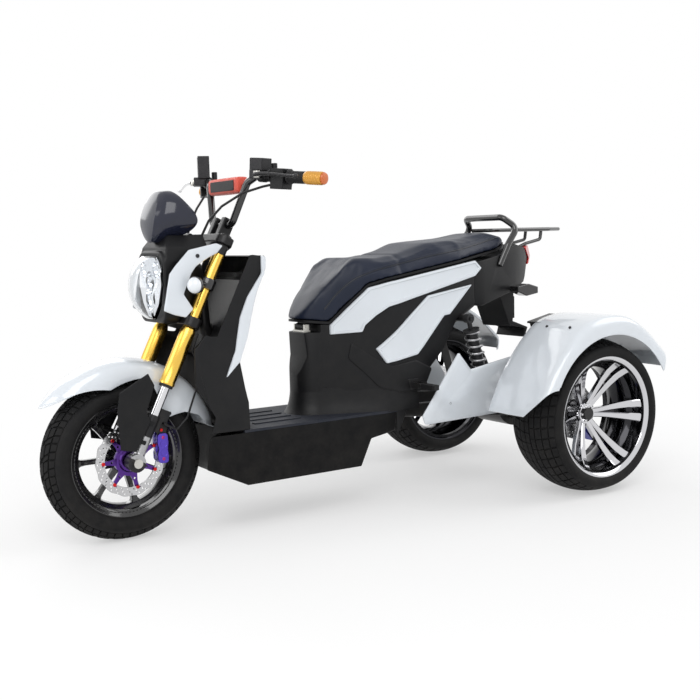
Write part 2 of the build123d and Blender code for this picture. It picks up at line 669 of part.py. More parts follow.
APRON_FRONT = [          # (x, s) in the fork's frame: clear of the lamp's and indicators' swing
    (-20, 354), (-32, 400), (-32, 450), (-60, 500), (-60, 572), (-34, 612), (-22, 652),
]
APRON_BACK = [
    (391, 300), (391, 380), (398, 411), (414, 498), (386, 568), (363, 660), (351, 697), (320, 765), (318, 800),
]
APRON_FLARE = [(TUB_HALF, 290), (TUB_HALF - 4, 380), (APRON_HALF + 5, 480), (APRON_HALF, 560), (APRON_HALF, 830)]


def apron_flare(grow):
    """The leg shield's front view: wide at the floor, narrower above."""
    return front_view([(y + grow, z) for y, z in APRON_FLARE], 0, OVERALL_LENGTH / 2)


def apron_block(inset):
    front = [fork_point(x, 0, s_up) for x, s_up in APRON_FRONT]
    side = [(548 + MID_X, 300), (548 + MID_X, 540)] + [(x, z) for x, _, z in front] + from_mid(APRON_BACK[::-1])
    return slab(side, -TUB_HALF, TUB_HALF) & apron_flare(-inset) & body_plan(inset, 200, 900)


def front_apron():
    """The black leg shield: side wings and a front wall round the wheel's swing, open behind."""
    hollow = apron_block(WALL) - steering_sweep(WALL)
    back = [(x - 3, z) for x, z in APRON_BACK] + [(x + 25, z) for x, z in reversed(APRON_BACK)]
    hollow += slab(from_mid(back), -APRON_HALF + WALL + 10, APRON_HALF - WALL - 10)
    down, radius, bends = frame_runs()[0]
    return apron_block(0) - steering_sweep(0) - hollow - rod(down, radius + 6, bends)


def inner_shield():
    """The panel that faces the rider: a shallow bulge over the frame's down tube."""
    back = from_mid(APRON_BACK)
    half = APRON_HALF - 16

    def layer(low, high, y):
        return slab([(x - low, z) for x, z in back] + [(x - high, z) for x, z in reversed(back)], -y, y)

    return layer(0, 5, half) + layer(0, 40, 78) - layer(-1, 36, 74)


def leg_shield_trim():
    """The bright blade along the leg shield's rear edge, ending in a point."""
    side = [
        (330, 803), (330, 751), (379, 684), (405, 625), (423, 533), (458, 457), (411, 498), (382, 568),
        (359, 660), (347, 697), (316, 765), (314, 797),
    ]
    return both(slab(from_mid(side), 60, 200) & (apron_flare(TRIM_T) - apron_flare(0)))


SEAT_LINE = [(-672, 812), (-600, 786), (-470, 766), (-122, 710), (-58, 694), (11, 628), (58, 580), (150, 590)]
LID_GAP = 1.5
PEDESTAL = [(150, 300), (150, 361), (148, 419), (125, 482), (131, 556), (84, 556), (84, 581)]
BODY_BACK = [(-470, 618), (-392, 574), (-336, 480), (-246, 392), (-182, 292), (-140, 208), (-140, 300)]


def lid_z(x):
    """The height of the seat's lower edge at x."""
    for (x_a, z_a), (x_b, z_b) in zip(SEAT_LINE, SEAT_LINE[1:]):
        if x_a <= x <= x_b:
            return z_a + (z_b - z_a) * (x - x_a) / (x_b - x_a)


def hull_plan(nose, side, z_low, z_high):
    """A plan outline with a round nose: nose is (centre x, radius), side lists (x, y) towards the back."""
    x, r = nose[0] + MID_X, nose[1]
    tail = [(x_i + MID_X, y) for x_i, y in side]
    arc = ThreePointArc((x, r, z_low), (x + r, 0, z_low), (x, -r, z_low))
    run = Polyline((x, -r, z_low), *[(a, -b, z_low) for a, b in tail], *[(a, b, z_low) for a, b in reversed(tail)],
                   (x, r, z_low))
    return extrude(make_face([arc, run]), amount=z_high - z_low, dir=(0, 0, 1))


BODY_NOSE = (80, 70)
BODY_SIDES = [(20, 98), (-60, 130), (-135, BODY_HALF), (-640, BODY_HALF)]


def hull(grow):
    """The seat body's plan, grown outward."""
    side = [(x, y + grow) for x, y in BODY_SIDES]
    return hull_plan((BODY_NOSE[0], BODY_NOSE[1] + grow), side, 200, 900)


def lid_line(drop, x_low=-470, x_high=58):
    """The seat's lower edge from front to back, lowered by drop."""
    return [(x, z - drop) for x, z in reversed(SEAT_LINE) if x_low <= x <= x_high]


BODY_SIDE = PEDESTAL + lid_line(LID_GAP) + BODY_BACK
BODY_INSIDE = [
    (146, 290), (146, 361), (144, 419), (121, 482), (127, 552), (80, 552), (80, 800),
    (-480, 800), (-480, 600), (-398, 560), (-340, 470), (-250, 382), (-190, 280), (-150, 190),
    (-120, 190), (-120, 290),
]


def side_body():
    """The black body under the seat: two walls and the front of the pedestal, open inside."""
    outer = slab(from_mid(BODY_SIDE), -BODY_HALF, BODY_HALF) & hull(0)
    shape = outer - (slab(from_mid(BODY_INSIDE), -BODY_HALF, BODY_HALF) & hull(-WALL))
    shape -= across(*SHOCK_TOP, 13, -BODY_HALF - 10, BODY_HALF + 10)
    return shape - underbody_tub() - floorboard()


STRIP_TOP = lid_line(LID_GAP + 2) + [
    (-497, 737), (-469, 711), (-271, 664), (-118, 628), (-78, 602), (-45, 573), (-36, 552), (58, 548),
]
STRIP_LOW = [
    (-454, 684), (-271, 656), (-77, 497), (-108, 449), (-225, 469), (-249, 493), (-336, 588), (-359, 590),
]


def body_strips(side):
    return both(slab(from_mid(side), 40, 200) & (hull(TRIM_T) - hull(0)))


BOX_FRONT_X, BOX_BACK_X = 30.0, -140.0
BOX_FLOOR_Z = 380.0
BOX_INSET = 24.0
BOX_T = 3.0


def luggage_box():
    """The open box under the seat, hung from the body by a flange that follows the lid."""
    def under_lid(drop):
        line = [p for p in lid_line(drop) if BOX_BACK_X < p[0] < BOX_FRONT_X]
        return [(BOX_FRONT_X, lid_z(BOX_FRONT_X) - drop)] + line + [(BOX_BACK_X, lid_z(BOX_BACK_X) - drop)]

    side = under_lid(6) + [(BOX_BACK_X, BOX_FLOOR_Z), (BOX_FRONT_X, BOX_FLOOR_Z)]
    inner = [
        (BOX_FRONT_X - BOX_T, 800), (BOX_BACK_X + BOX_T, 800), (BOX_BACK_X + BOX_T, BOX_FLOOR_Z + BOX_T),
        (BOX_FRONT_X - BOX_T, BOX_FLOOR_Z + BOX_T),
    ]
    outer = slab(from_mid(side), -BODY_HALF, BODY_HALF) & hull(-BOX_INSET)
    flange = slab(from_mid(under_lid(6) + under_lid(10)[::-1]), -BODY_HALF, BODY_HALF) & hull(-WALL)
    return outer + flange - (slab(from_mid(inner), -BODY_HALF, BODY_HALF) & hull(-BOX_INSET - BOX_T))


TAIL_SIDE = [
    (-470, 756), (-600, 776), (-700, 812), (-772, 800), (-824, 760), (-808, 744), (-768, 678),
    (-682, 650), (-497, 609), (-470, 618),
]
TAIL_IN = [
    (-460, 770), (-600, 772), (-700, 808), (-770, 796), (-790, 760), (-780, 744), (-762, 684),
    (-680, 656), (-497, 614), (-460, 628),
]


def tail_plan(inset, z_low, z_high):
    half = [(-460, BODY_HALF), (-520, BODY_HALF - 4), (-700, 104), (-778, 66), (-832, 26)]
    return mirror_plan([(x + MID_X, y - inset) for x, y in half], z_low, z_high)


def tail_cowl():
    outer = slab(from_mid(TAIL_SIDE), -BODY_HALF, BODY_HALF) & tail_plan(0, 500, 900)
    inner = slab(from_mid(TAIL_IN), -BODY_HALF, BODY_HALF) & tail_plan(WALL, 500, 900)
    rail, radius, bends = frame_runs()[1]
    return outer - inner - both(rod(rail, radius + 1, bends)) - grab_rail()


def tail_lamp():
    side = [(-778, 800), (-812, 806), (-842, 770), (-826, 742), (-806, 738), (-824, 760)]
    lamp = slab(from_mid(side), -62, 62) & mirror_plan([(MID_X - 700, 66), (MID_X - 786, 64), (MID_X - 842, 26)], 600, 900)
    return lamp - slab(from_mid(TAIL_SIDE), -200, 200) - rear_rack()


def rear_indicators():
    body = slab(from_mid([(-650, 668), (-700, 676), (-742, 664), (-742, 642), (-690, 634), (-650, 650)]), 128, 172)
    stalk = across(-676 + MID_X, 658, 8, 96, 130)
    cowl = slab(from_mid(TAIL_SIDE), -BODY_HALF, BODY_HALF) & tail_plan(0, 500, 900)
    return both(body + stalk - cowl)


PLATE_X = -724.0 + MID_X        # the number plate's seat: a flat face that looks back
PLATE_HOLE_Z = 590.0
PLATE_HOLE_R = 3.5


def plate_hanger():
    """The arm under the tail that carries the number plate and its lamp."""
    arm = slab(from_mid([(-640, 664), (-722, 676), (-716, 540), (-700, 520), (-690, 545)]), -72, 72)
    foot = slab(from_mid([(-700, 532), (-720, 540), (-786, 516), (-772, 482), (-762, 482), (-772, 510)]), -72, 72)
    cowl = slab(from_mid(TAIL_SIDE), -BODY_HALF, BODY_HALF)
    hole = Pos(-714 + MID_X, 0, PLATE_HOLE_Z) * Rot(0, 90, 0) * Cylinder(PLATE_HOLE_R, 60)
    plate = Box(6, 2 * 72, 76)
    plate = Pos(PLATE_X + 3, 0, PLATE_HOLE_Z) * plate
    return arm + foot + plate - cowl - Pos(0, 55, 0) * hole - Pos(0, -55, 0) * hole


RACK_Z = 862.0
RACK_R = 7.0


def grab_rail():
    """A tube hoop over the seat's tail."""
    half = [(-600, 132, 742), (-640, 132, 812), (-690, 124, 868), (-646, 96, 905)]
    line = [(x + MID_X, y, z) for x, y, z in half] + [(x + MID_X, -y, z) for x, y, z in reversed(half)]
    return rod(line, BAR_R, [30, 26, 24, 24, 26, 30])


def rear_rack():
    """A flat rack behind the hoop: an outer loop, two inner bars and a plate on struts."""
    tip = RACK_R - OVERALL_LENGTH / 2
    half = [(-693 + MID_X, 118), (-724 + MID_X, 62), (tip + 84, 48), (tip, 14)]
    z = RACK_Z
    line = [(x, y, z) for x, y in half] + [(x, -y, z) for x, y in reversed(half)]
    loop = rod(line, RACK_R, [26, 30, 8, 8, 30, 26])
    low, high = tip + 60, -748 + MID_X
    plate = Pos((low + high) / 2, 0, z) * Box(high - low, 112, 4)
    for y in (-28, 0, 28):
        plate -= Pos((low + high) / 2, y, z) * Box(high - low - 50, 16, 10)
    edge = mirror_plan([(high + 10, 62), (tip + 84, 48), (tip, 14)], z - 3, z + 3)
    strut = [(tip + 112, z), (tip + 118, 826), (tip + 190, 812), (tip + 240, 794)]
    strut = rod([(x, 40, z_i) for x, z_i in strut], 6, [12, 12])
    shape = loop + (plate & edge) + both(strut)
    return (shape - slab(from_mid(TAIL_SIDE), -60, 60)) + grab_rail()


# --- rear suspension and axle ------------------------------------------------------------------
REAR = (REAR_AXLE_X, REAR_TYRE_R)


def axle_housing():
    """The rear axle: a tube with the motor and its drive case in the middle, spindles at its ends."""
    end = REAR_TRACK / 2 + REAR_HUB_Y - REAR_HUB_HALF - REAR_DISC_T - 0.5
    tube = across(*REAR, AXLE_TUBE_R, -end, end)
    motor = across(*REAR, 84, -74, 74) + across(*REAR, 60, -96, 96)
    spindle = across(*REAR, SPINDLE_R, end - 10, REAR_TRACK / 2 + REAR_HUB_Y + REAR_HUB_HALF + 16)
    flange = across(*REAR, 44, end - 10, end)
    nut = across(*REAR, 20, REAR_TRACK / 2 + REAR_HUB_Y + REAR_HUB_HALF + 0.5,
                 REAR_TRACK / 2 + REAR_HUB_Y + REAR_HUB_HALF + 16)
    return tube + motor + both(spindle + flange + nut) + fender_brackets()


def swingarm():
    """Two box arms from the frame's pivot to the axle, with a cross tube and shock lugs."""
    x_p, z_p = PIVOT
    x_r, z_r = REAR
    arm = slab([(x_p + 18, z_p - 20), (x_p + 18, z_p + 20), (x_r - 30, z_r + 30), (x_r - 30, z_r - 30),
                (x_r + 30, z_r - 36)], *ARM_Y)
    lug = slab([(SHOCK_FOOT[0] - 24, 262), (SHOCK_FOOT[0] - 12, 306), (SHOCK_FOOT[0] + 12, 306),
                (SHOCK_FOOT[0] + 24, 262)], ARM_Y[1] - 8, ARM_Y[1])
    pin = across(*SHOCK_FOOT, 7, ARM_Y[1] - 4, SHOCK_Y + 16) + across(*SHOCK_FOOT, 13, ARM_Y[1] - 4, SHOCK_Y - 12)
    cross = across(x_r + 150, z_r + 14, 16, -ARM_Y[0] - 4, ARM_Y[0] + 4)
    shape = both(arm + lug + pin) + cross
    return shape - axle_housing() - main_frame()


def shock_axis():
    top, foot = Vector(SHOCK_TOP[0], 0, SHOCK_TOP[1]), Vector(SHOCK_FOOT[0], 0, SHOCK_FOOT[1])
    length = (top - foot).length
    place = Plane(origin=(foot.X, SHOCK_Y, foot.Z), x_dir=(0, 1, 0), z_dir=(top - foot).normalized())
    return place.location, length


def shock_bodies():
    place, length = shock_axis()
    rod_up = place * Pos(0, 0, length * 0.5) * Cylinder(8, length - 18)
    can = place * Pos(0, 0, length * 0.52) * Cylinder(COIL_R - COIL_WIRE_R, length * 0.66)
    low_cup = place * Pos(0, 0, length * 0.2) * Cylinder(COIL_R + 4, 6)
    high_cup = place * Pos(0, 0, length * 0.86) * Cylinder(COIL_R + 4, 8)
    eyes = across(*SHOCK_FOOT, 15, SHOCK_Y - 12, SHOCK_Y + 12) + across(*SHOCK_TOP, 15, SHOCK_Y - 12, SHOCK_Y + 12)
    shape = rod_up + can + low_cup + high_cup + eyes
    shape -= across(*SHOCK_FOOT, 7, SHOCK_Y - 30, SHOCK_Y + 30)
    return both(shape - across(*SHOCK_TOP, 7, SHOCK_Y - 30, SHOCK_Y + 30))


def shock_springs():
    """Coil springs round the shocks, as rings seated on the damper between its cups."""
    place, length = shock_axis()
    low, high = length * 0.2 + 3, length * 0.86 - 4
    pitch = (high - low) / COIL_TURNS
    ring = Torus(COIL_R, COIL_WIRE_R)
    spring = place * Pos(0, 0, low + pitch / 2) * ring
    for i in range(1, COIL_TURNS):
        spring += place * Pos(0, 0, low + pitch * (i + 0.5)) * ring
    return both(spring)


COVER_SIDE = [
    (-191, 279), (-341, 471), (-390, 412), (-569, 440), (-640, 330), (-610, 258), (-202, 250),
]


def swingarm_covers():
    """Bright panels bolted outside the swingarm."""
    plate = slab(from_mid(COVER_SIDE), COVER_Y, COVER_Y + WALL)
    boss = across(-335 + MID_X, 288, 9, ARM_Y[1], COVER_Y) + across(-552 + MID_X, 276, 9, ARM_Y[1], COVER_Y)
    return both(plate + boss)


FENDER_CROWN = [       # (x, z) from the axle, in shares of the arch's radius
    (1.209, 0.119), (1.015, 0.519), (0.780, 0.830), (0.440, 1.153), (0.060, 1.232), (-0.299, 1.213),
    (-0.640, 1.010), (-0.978, 0.698), (-0.951, 0.541),
]


def crown_line(drop):
    """The fender's crown from front to back, drop inside its outer face."""
    share = 1 - drop / REAR_ARCH_R
    return [(REAR_AXLE_X + x * REAR_ARCH_R * share, REAR_TYRE_R + z * REAR_ARCH_R * share) for x, z in FENDER_CROWN]


def rear_fenders():
    """Broad hoods over the rear wheels: folded crown, outer wall cut round the tyre."""
    t = REAR_FENDER_T
    low = REAR_TYRE_R - 10
    shells = []
    for drop, y_low, y_high, radius in ((0, FENDER_IN_Y, FENDER_OUT_Y, 26), (t, FENDER_IN_Y - 5, FENDER_OUT_Y - t, 22)):
        line = crown_line(drop)
        if drop:
            line = [(line[0][0], low)] + line + [(line[-1][0] + 4, low)]
        solid = slab(line, y_low, y_high)
        edges = [e for e in solid.edges() if abs(e.center().Y - y_high) < 0.1 and e.center().Z > REAR_TYRE_R + 60
                 and e.bounding_box().size.Z + e.bounding_box().size.X < 1.1 * REAR_ARCH_R]
        shells.append(fillet(edges, radius))
    shape = shells[0] - shells[1] - across(*REAR, REAR_ARCH_R, FENDER_OUT_Y - 60, FENDER_OUT_Y + 5)
    wedge = Plane(origin=(REAR_AXLE_X + 330, 440, REAR_TYRE_R + 9), x_dir=(1, 0, 0), z_dir=(0, 0.72, -0.69))
    shape -= wedge.location * Pos(0, 0, 100) * Box(200, 400, 200)
    return both(shape)


def fender_brackets():
    """Flat steel stays from the axle tube up to each fender's crown."""
    y_low, y_high = 262, 290
    (x_a, z_a), (x_b, z_b) = crown_line(REAR_FENDER_T + 0.4)[3:5]
    stay = slab([(REAR_AXLE_X - 16, REAR_TYRE_R + 17), (REAR_AXLE_X + 16, REAR_TYRE_R + 17), (x_a - 10, z_a - 2),
                 (x_a - 40, z_a + 0.2 * (z_b - z_a) - 2)], y_low, y_low + 8)
    tab = slab([(x_a, z_a), (x_b, z_b), (x_b, z_b - 6), (x_a, z_a - 6)], y_low, y_high + 40)
    return both(stay + tab)


def rear_calipers():
    y_mid = REAR_TRACK / 2 + REAR_HUB_Y - REAR_HUB_HALF - REAR_DISC_T / 2
    place = Pos(REAR_AXLE_X - 62, y_mid, REAR_TYRE_R - 62) * Rot(0, 45, 0)
    body = place * Box(44, 34, 80)
    gap = across(*REAR, REAR_DISC_R + 4, y_mid - 5, y_mid + 5)
    arm = slab([(REAR_AXLE_X, REAR_TYRE_R - 20), (REAR_AXLE_X - 20, REAR_TYRE_R), (REAR_AXLE_X - 70, REAR_TYRE_R - 46),
                (REAR_AXLE_X - 46, REAR_TYRE_R - 70)], y_mid - 17, y_mid - 10)
    shape = body - gap + arm
    shape -= across(*REAR, 44, y_mid - 30, y_mid + 30)
    return both(shape)


PEG_HINGE = (-214.0 + MID_X, 372.0)
PEG_Y = 190.0


def peg_brackets():
    """Ears outside the body that carry the folding footpegs."""
    x, z = PEG_HINGE
    plate = slab([(x - 26, z - 14), (x + 20, z - 14), (x + 30, z + 20), (x - 10, z + 20)], BODY_HALF, BODY_HALF + 6)
    ear = Box(6, PEG_Y + 8 - BODY_HALF, 20)
    y_mid = (PEG_Y + 8 + BODY_HALF) / 2
    ears = Pos(x - 15, y_mid, z) * ear + Pos(x + 15, y_mid, z) * ear
    pin = Pos(x, PEG_Y, z) * Rot(0, 90, 0) * Cylinder(4, 36)
    return both(plate + ears + pin)


def peg():
    """A folding footpeg: a rubber-ribbed bar out from its hinge."""
    x, z = PEG_HINGE
    knuckle = Pos(x, PEG_Y, z) * Rot(0, 90, 0) * Cylinder(9, 22)
    bar = across(x, z, 9, PEG_Y + 4, PEG_Y + 78)
    tread = Pos(x, PEG_Y + 46, z) * Box(26, 58, 16)
    return knuckle + bar + tread - Pos(x, PEG_Y, z) * Rot(0, 90, 0) * Cylinder(4 + RUN_GAP, 40)


# --- seat --------------------------------------------------------------------------------------
SEAT_HINGE = (112.0 + MID_X, 574.0)
SEAT_TOP = [
    (150, 600), (146, 612), (12, 768), (-30, 777), (-124, 775), (-217, 791), (-304, 818),
    (-478, 831), (-581, 847), (-668, 849),
]
SEAT_NOSE = (75, 75)
SEAT_SIDES = [(20, 100), (-60, 134), (-130, SEAT_HALF), (-420, SEAT_HALF), (-540, 118), (-640, 102), (-672, 74)]


def seat_plan(grow):
    side = [(x, y + grow) for x, y in SEAT_SIDES]
    return hull_plan((SEAT_NOSE[0], SEAT_NOSE[1] + grow), side, 500, 900)


def seat_base():
    """The seat's pan, with its hinge knuckle at the front."""
    low = [(x, z + SOFT_GAP) for x, z in SEAT_LINE]
    high = [(x, z + SEAT_BASE_T) for x, z in reversed(SEAT_LINE)]
    pan = slab(from_mid(low + high), -SEAT_HALF, SEAT_HALF) & seat_plan(-3)
    x, z = SEAT_HINGE
    knuckle = across(x, z, 9, -24, 24) + Pos(x - 13, 0, z + 9) * Box(26, 48, 9)
    return pan + knuckle - across(x, z, 4 + RUN_GAP, -40, 40)


def seat_cushion():
    """The padded saddle: a long wedge, dished for the rider and raised for the pillion."""
    low = [(x, z + SEAT_BASE_T + SOFT_GAP) for x, z in SEAT_LINE]
    pad = slab(from_mid(SEAT_TOP + low), -SEAT_HALF, SEAT_HALF) & seat_plan(0)
    x, z = SEAT_HINGE
    return pad - across(x, z, 27, -30, 30)


def seat_hinge():
    x, z = SEAT_HINGE
    ear = slab([(x - 9, 560), (x + 9, 560), (x + 9, z + 6), (x - 9, z + 6)], 26, 32)
    foot = Pos(x, 0, 559) * Box(22, 70, 6)
    return both(ear) + foot + across(x, z, 4, -34, 34)


def place_front(shape):
    return Pos(FRONT_AXLE_X, 0, FRONT_TYRE_R) * shape


def place_rear(shape, side):
    left = Pos(REAR_AXLE_X, REAR_TRACK / 2, REAR_TYRE_R) * shape
    return left if side == "left" else mirror(left, about=Plane.XZ)


# --- node table: name and the function that makes it ---------------------------------------------
FRONT_WHEEL = {
    "front_tyre": lambda: place_front(
        tyre(FRONT_SEAT_R, FRONT_FLANGE_R, FRONT_RIM_HALF, FRONT_TYRE_R, FRONT_TYRE_W, 26)
    ),
    "front_rim": lambda: place_front(front_rim()),
    "front_disc": lambda: place_front(front_disc()),
}
STEERING = {
    "triple_clamps": triple_clamps,
    "fork_tubes": fork_tubes,
    "stanchions": stanchions,
    "lower_legs": lower_legs,
    "front_axle": front_axle,
    "front_fender": front_fender,
    "fork_guards": fork_guards,
    "headlamp_housing": headlamp_housing,
    "headlamp_reflector": headlamp_reflector,
    "headlamp_lens": headlamp_lens,
    "windscreen": windscreen,
    "lamp_wings": lamp_wings,
    "front_indicators": indicator_lenses,
    "handlebar": handlebar,
    "bar_pad": bar_pad,
    "grips": grips,
    "switchgear": switchgear,
    "brake_masters": brake_masters,
    "levers": levers,
    "front_caliper": front_caliper,
    "control_cables": control_cables,
}
CHASSIS = {
    "main_frame": main_frame,
    "underbody_tub": underbody_tub,
    "battery_pack": battery_pack,
    "floorboard": floorboard,
    "front_apron": front_apron,
    "inner_shield": inner_shield,
    "leg_shield_trim": leg_shield_trim,
    "side_body": side_body,
    "upper_strips": lambda: body_strips(STRIP_TOP),
    "lower_strips": lambda: body_strips(STRIP_LOW),
    "luggage_box": luggage_box,
    "seat_hinge": seat_hinge,
    "tail_cowl": tail_cowl,
    "tail_lamp": tail_lamp,
    "rear_indicators": rear_indicators,
    "plate_hanger": plate_hanger,
    "rear_rack": rear_rack,
    "axle_housing": axle_housing,
    "swingarm": swingarm,
    "swingarm_covers": swingarm_covers,
    "shock_bodies": shock_bodies,
    "shock_springs": shock_springs,
    "rear_fenders": rear_fenders,
    "rear_calipers": rear_calipers,
    "peg_brackets": peg_brackets,
}
SEAT = {"seat_base": seat_base, "seat_cushion": seat_cushion}

for group in (FRONT_WHEEL, STEERING, CHASSIS, SEAT):
    for name, make in group.items():
        export_step(make(), f"parts/{name}.step")
rear_tyre = tyre(REAR_SEAT_R, REAR_FLANGE_R, REAR_RIM_HALF, REAR_TYRE_R, REAR_TYRE_W, 22)
rear_parts = {"rear_tyre": rear_tyre, "rear_rim": rear_rim(), "rear_disc": rear_disc()}
left_peg = peg()
for side in ("left", "right"):
    for name, shape in rear_parts.items():
        export_step(place_rear(shape, side), f"parts/{name}_{side}.step")
    footpeg = left_peg if side == "left" else mirror(left_peg, about=Plane.XZ)
    export_step(footpeg, f"parts/footpeg_{side}.step")
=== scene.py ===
from contextlib import contextmanager
import math

import bmesh
import bpy
from mathutils import Matrix, Vector, bvhtree, geometry


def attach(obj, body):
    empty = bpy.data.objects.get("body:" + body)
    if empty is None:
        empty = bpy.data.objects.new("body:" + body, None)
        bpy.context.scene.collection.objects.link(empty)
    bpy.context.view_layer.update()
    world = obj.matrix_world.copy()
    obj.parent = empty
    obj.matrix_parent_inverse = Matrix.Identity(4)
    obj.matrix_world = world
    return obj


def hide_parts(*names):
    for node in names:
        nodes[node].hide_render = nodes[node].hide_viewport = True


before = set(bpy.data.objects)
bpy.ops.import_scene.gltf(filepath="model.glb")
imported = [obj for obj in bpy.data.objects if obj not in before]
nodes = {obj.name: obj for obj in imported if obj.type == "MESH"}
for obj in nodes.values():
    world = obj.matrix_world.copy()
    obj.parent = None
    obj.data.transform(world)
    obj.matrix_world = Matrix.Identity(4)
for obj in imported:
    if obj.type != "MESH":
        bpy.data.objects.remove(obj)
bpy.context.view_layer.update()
print("frame loaded", len(nodes))


def setDown(name, data):  # a new object at the origin
    made = bpy.data.objects.new(name, data)
    bpy.context.scene.collection.objects.link(made)
    return made


# camera, in front and to the left
cameraSetup = {"place": (1.8088, 2.8167, 0.8412), "yaw": -123.378, "pitch": -6.055, "roll": -1.396, "lens": 53.50}


def makeCamera(setup):
    data = bpy.data.cameras.new("mainCamera")
    data.lens = setup["lens"]
    data.sensor_width = 36
    data.clip_end = 60
    camera = setDown("mainCamera", data)
    yaw, pitch, roll = (math.radians(setup[key]) for key in ("yaw", "pitch", "roll"))
    ahead = Vector((math.cos(yaw) * math.cos(pitch), math.sin(yaw) * math.cos(pitch), math.sin(pitch)))
    right = ahead.cross(Vector((0, 0, 1))).normalized()
    up = right.cross(ahead)
    tiltedRight = right * math.cos(roll) + up * math.sin(roll)
    tiltedUp = up * math.cos(roll) - right * math.sin(roll)
    turn = Matrix((tiltedRight, tiltedUp, -ahead)).transposed()
    camera.matrix_world = Matrix.Translation(setup["place"]) @ turn.to_4x4()
    bpy.context.scene.camera = camera


makeCamera(cameraSetup)
print("camera ready")


# shader groups that several finishes share
def newGroup(name, inputs, outputs):
    tree = bpy.data.node_groups.new(name, "ShaderNodeTree")
    for kind, label, value in inputs:
        socket = tree.interface.new_socket(label, in_out="INPUT", socket_type=kind)
        if value is not None:
            socket.default_value = value
    for kind, label in outputs:
        tree.interface.new_socket(label, in_out="OUTPUT", socket_type=kind)
    return tree, tree.nodes.new("NodeGroupInput"), tree.nodes.new("NodeGroupOutput")


def addNode(tree, kind, settings=(), sockets=()):
    node = tree.nodes.new(kind)
    for key, value in dict(settings).items():
        setattr(node, key, value)
    for key, value in dict(sockets).items():
        node.inputs[key].default_value = value
    return node


def wire(tree, *rows):  # each row is a node, its output, the node it feeds, and that node's input
    for source, output, target, given in rows:
        tree.links.new(source.outputs[output], target.inputs[given])


def mottleGroup():  # slow colour drift and uneven gloss
    tree, given, out = newGroup(
        "mottle",
        [("NodeSocketVector", "Place", None), ("NodeSocketColor", "Colour", (1, 1, 1, 1)), ("NodeSocketFloat", "Scale", 12.0),
         ("NodeSocketFloat", "Drift", 0.1), ("NodeSocketFloat", "Rough", 0.4), ("NodeSocketFloat", "Rough Drift", 0.1)],
        [("NodeSocketColor", "Colour"), ("NodeSocketFloat", "Roughness")],
    )
    noise = addNode(tree, "ShaderNodeTexNoise", sockets={"Detail": 5.0, "Roughness": 0.6})
    signed = addNode(tree, "ShaderNodeMath", {"operation": "SUBTRACT"}, {1: 0.5})
    tint = addNode(tree, "ShaderNodeMath", {"operation": "MULTIPLY_ADD"}, {2: 1.0})
    gloss = addNode(tree, "ShaderNodeMath", {"operation": "MULTIPLY_ADD"})
    paint = addNode(tree, "ShaderNodeVectorMath", {"operation": "SCALE"})
    wire(tree,
         (given, "Place", noise, "Vector"), (given, "Scale", noise, "Scale"), (noise, "Fac", signed, 0),
         (signed, 0, tint, 0), (given, "Drift", tint, 1), (signed, 0, gloss, 0), (given, "Rough Drift", gloss, 1),
         (given, "Rough", gloss, 2), (given, "Colour", paint, 0), (tint, 0, paint, "Scale"), (paint, 0, out, "Colour"),
         (gloss, 0, out, "Roughness"))
    return tree


def grainGroup():  # moulded plastic and cast metal skin
    tree, given, out = newGroup(
        "grain",
        [("NodeSocketVector", "Place", None), ("NodeSocketFloat", "Scale", 900.0), ("NodeSocketFloat", "Pits", 0.5)],
        [("NodeSocketFloat", "Height")],
    )
    cells = addNode(tree, "ShaderNodeTexVoronoi", {"feature": "SMOOTH_F1"}, {"Smoothness": 0.6})
    noise = addNode(tree, "ShaderNodeTexNoise", sockets={"Detail": 3.0})
    mix = addNode(tree, "ShaderNodeMix", {"data_type": "FLOAT"})
    link = tree.links.new
    for node in (cells, noise):
        link(given.outputs["Place"], node.inputs["Vector"])
        link(given.outputs["Scale"], node.inputs["Scale"])
    wire(tree,
         (given, "Pits", mix, "Factor"), (noise, "Fac", mix, "A"), (cells, "Distance", mix, "B"),
         (mix, "Result", out, "Height"))
    return tree


def dustGroup():  # pale road dust in patches, more of it low down
    tree, given, out = newGroup(
        "dust",
        [("NodeSocketVector", "Place", None), ("NodeSocketColor", "Colour", (1, 1, 1, 1)),
         ("NodeSocketColor", "Dust", (0.30, 0.27, 0.23, 1)), ("NodeSocketFloat", "Amount", 0.2),
         ("NodeSocketFloat", "Top", 0.45)],
        [("NodeSocketColor", "Colour")],
    )
    split = addNode(tree, "ShaderNodeSeparateXYZ")
    low = addNode(tree, "ShaderNodeMapRange", sockets={"From Min": 0.0, "To Min": 1.0, "To Max": 0.15})
    noise = addNode(tree, "ShaderNodeTexNoise", sockets={"Scale": 23.0, "Detail": 6.0, "Roughness": 0.7})
    spread = addNode(tree, "ShaderNodeMapRange", sockets={"From Min": 0.35, "From Max": 0.75})
    both = addNode(tree, "ShaderNodeMath", {"operation": "MULTIPLY"})
    share = addNode(tree, "ShaderNodeMath", {"operation": "MULTIPLY", "use_clamp": True})
    mix = addNode(tree, "ShaderNodeMix", {"data_type": "RGBA"})
    wire(tree,
         (given, "Place", split, 0), (split, "Z", low, "Value"), (given, "Top", low, "From Max"),
         (given, "Place", noise, "Vector"), (noise, "Fac", spread, "Value"), (low, 0, both, 0), (spread, 0, both, 1),
         (both, 0, share, 0), (given, "Amount", share, 1), (share, 0, mix, "Factor"), (given, "Colour", mix, "A"),
         (given, "Dust", mix, "B"), (mix, "Result", out, "Colour"))
    return tree


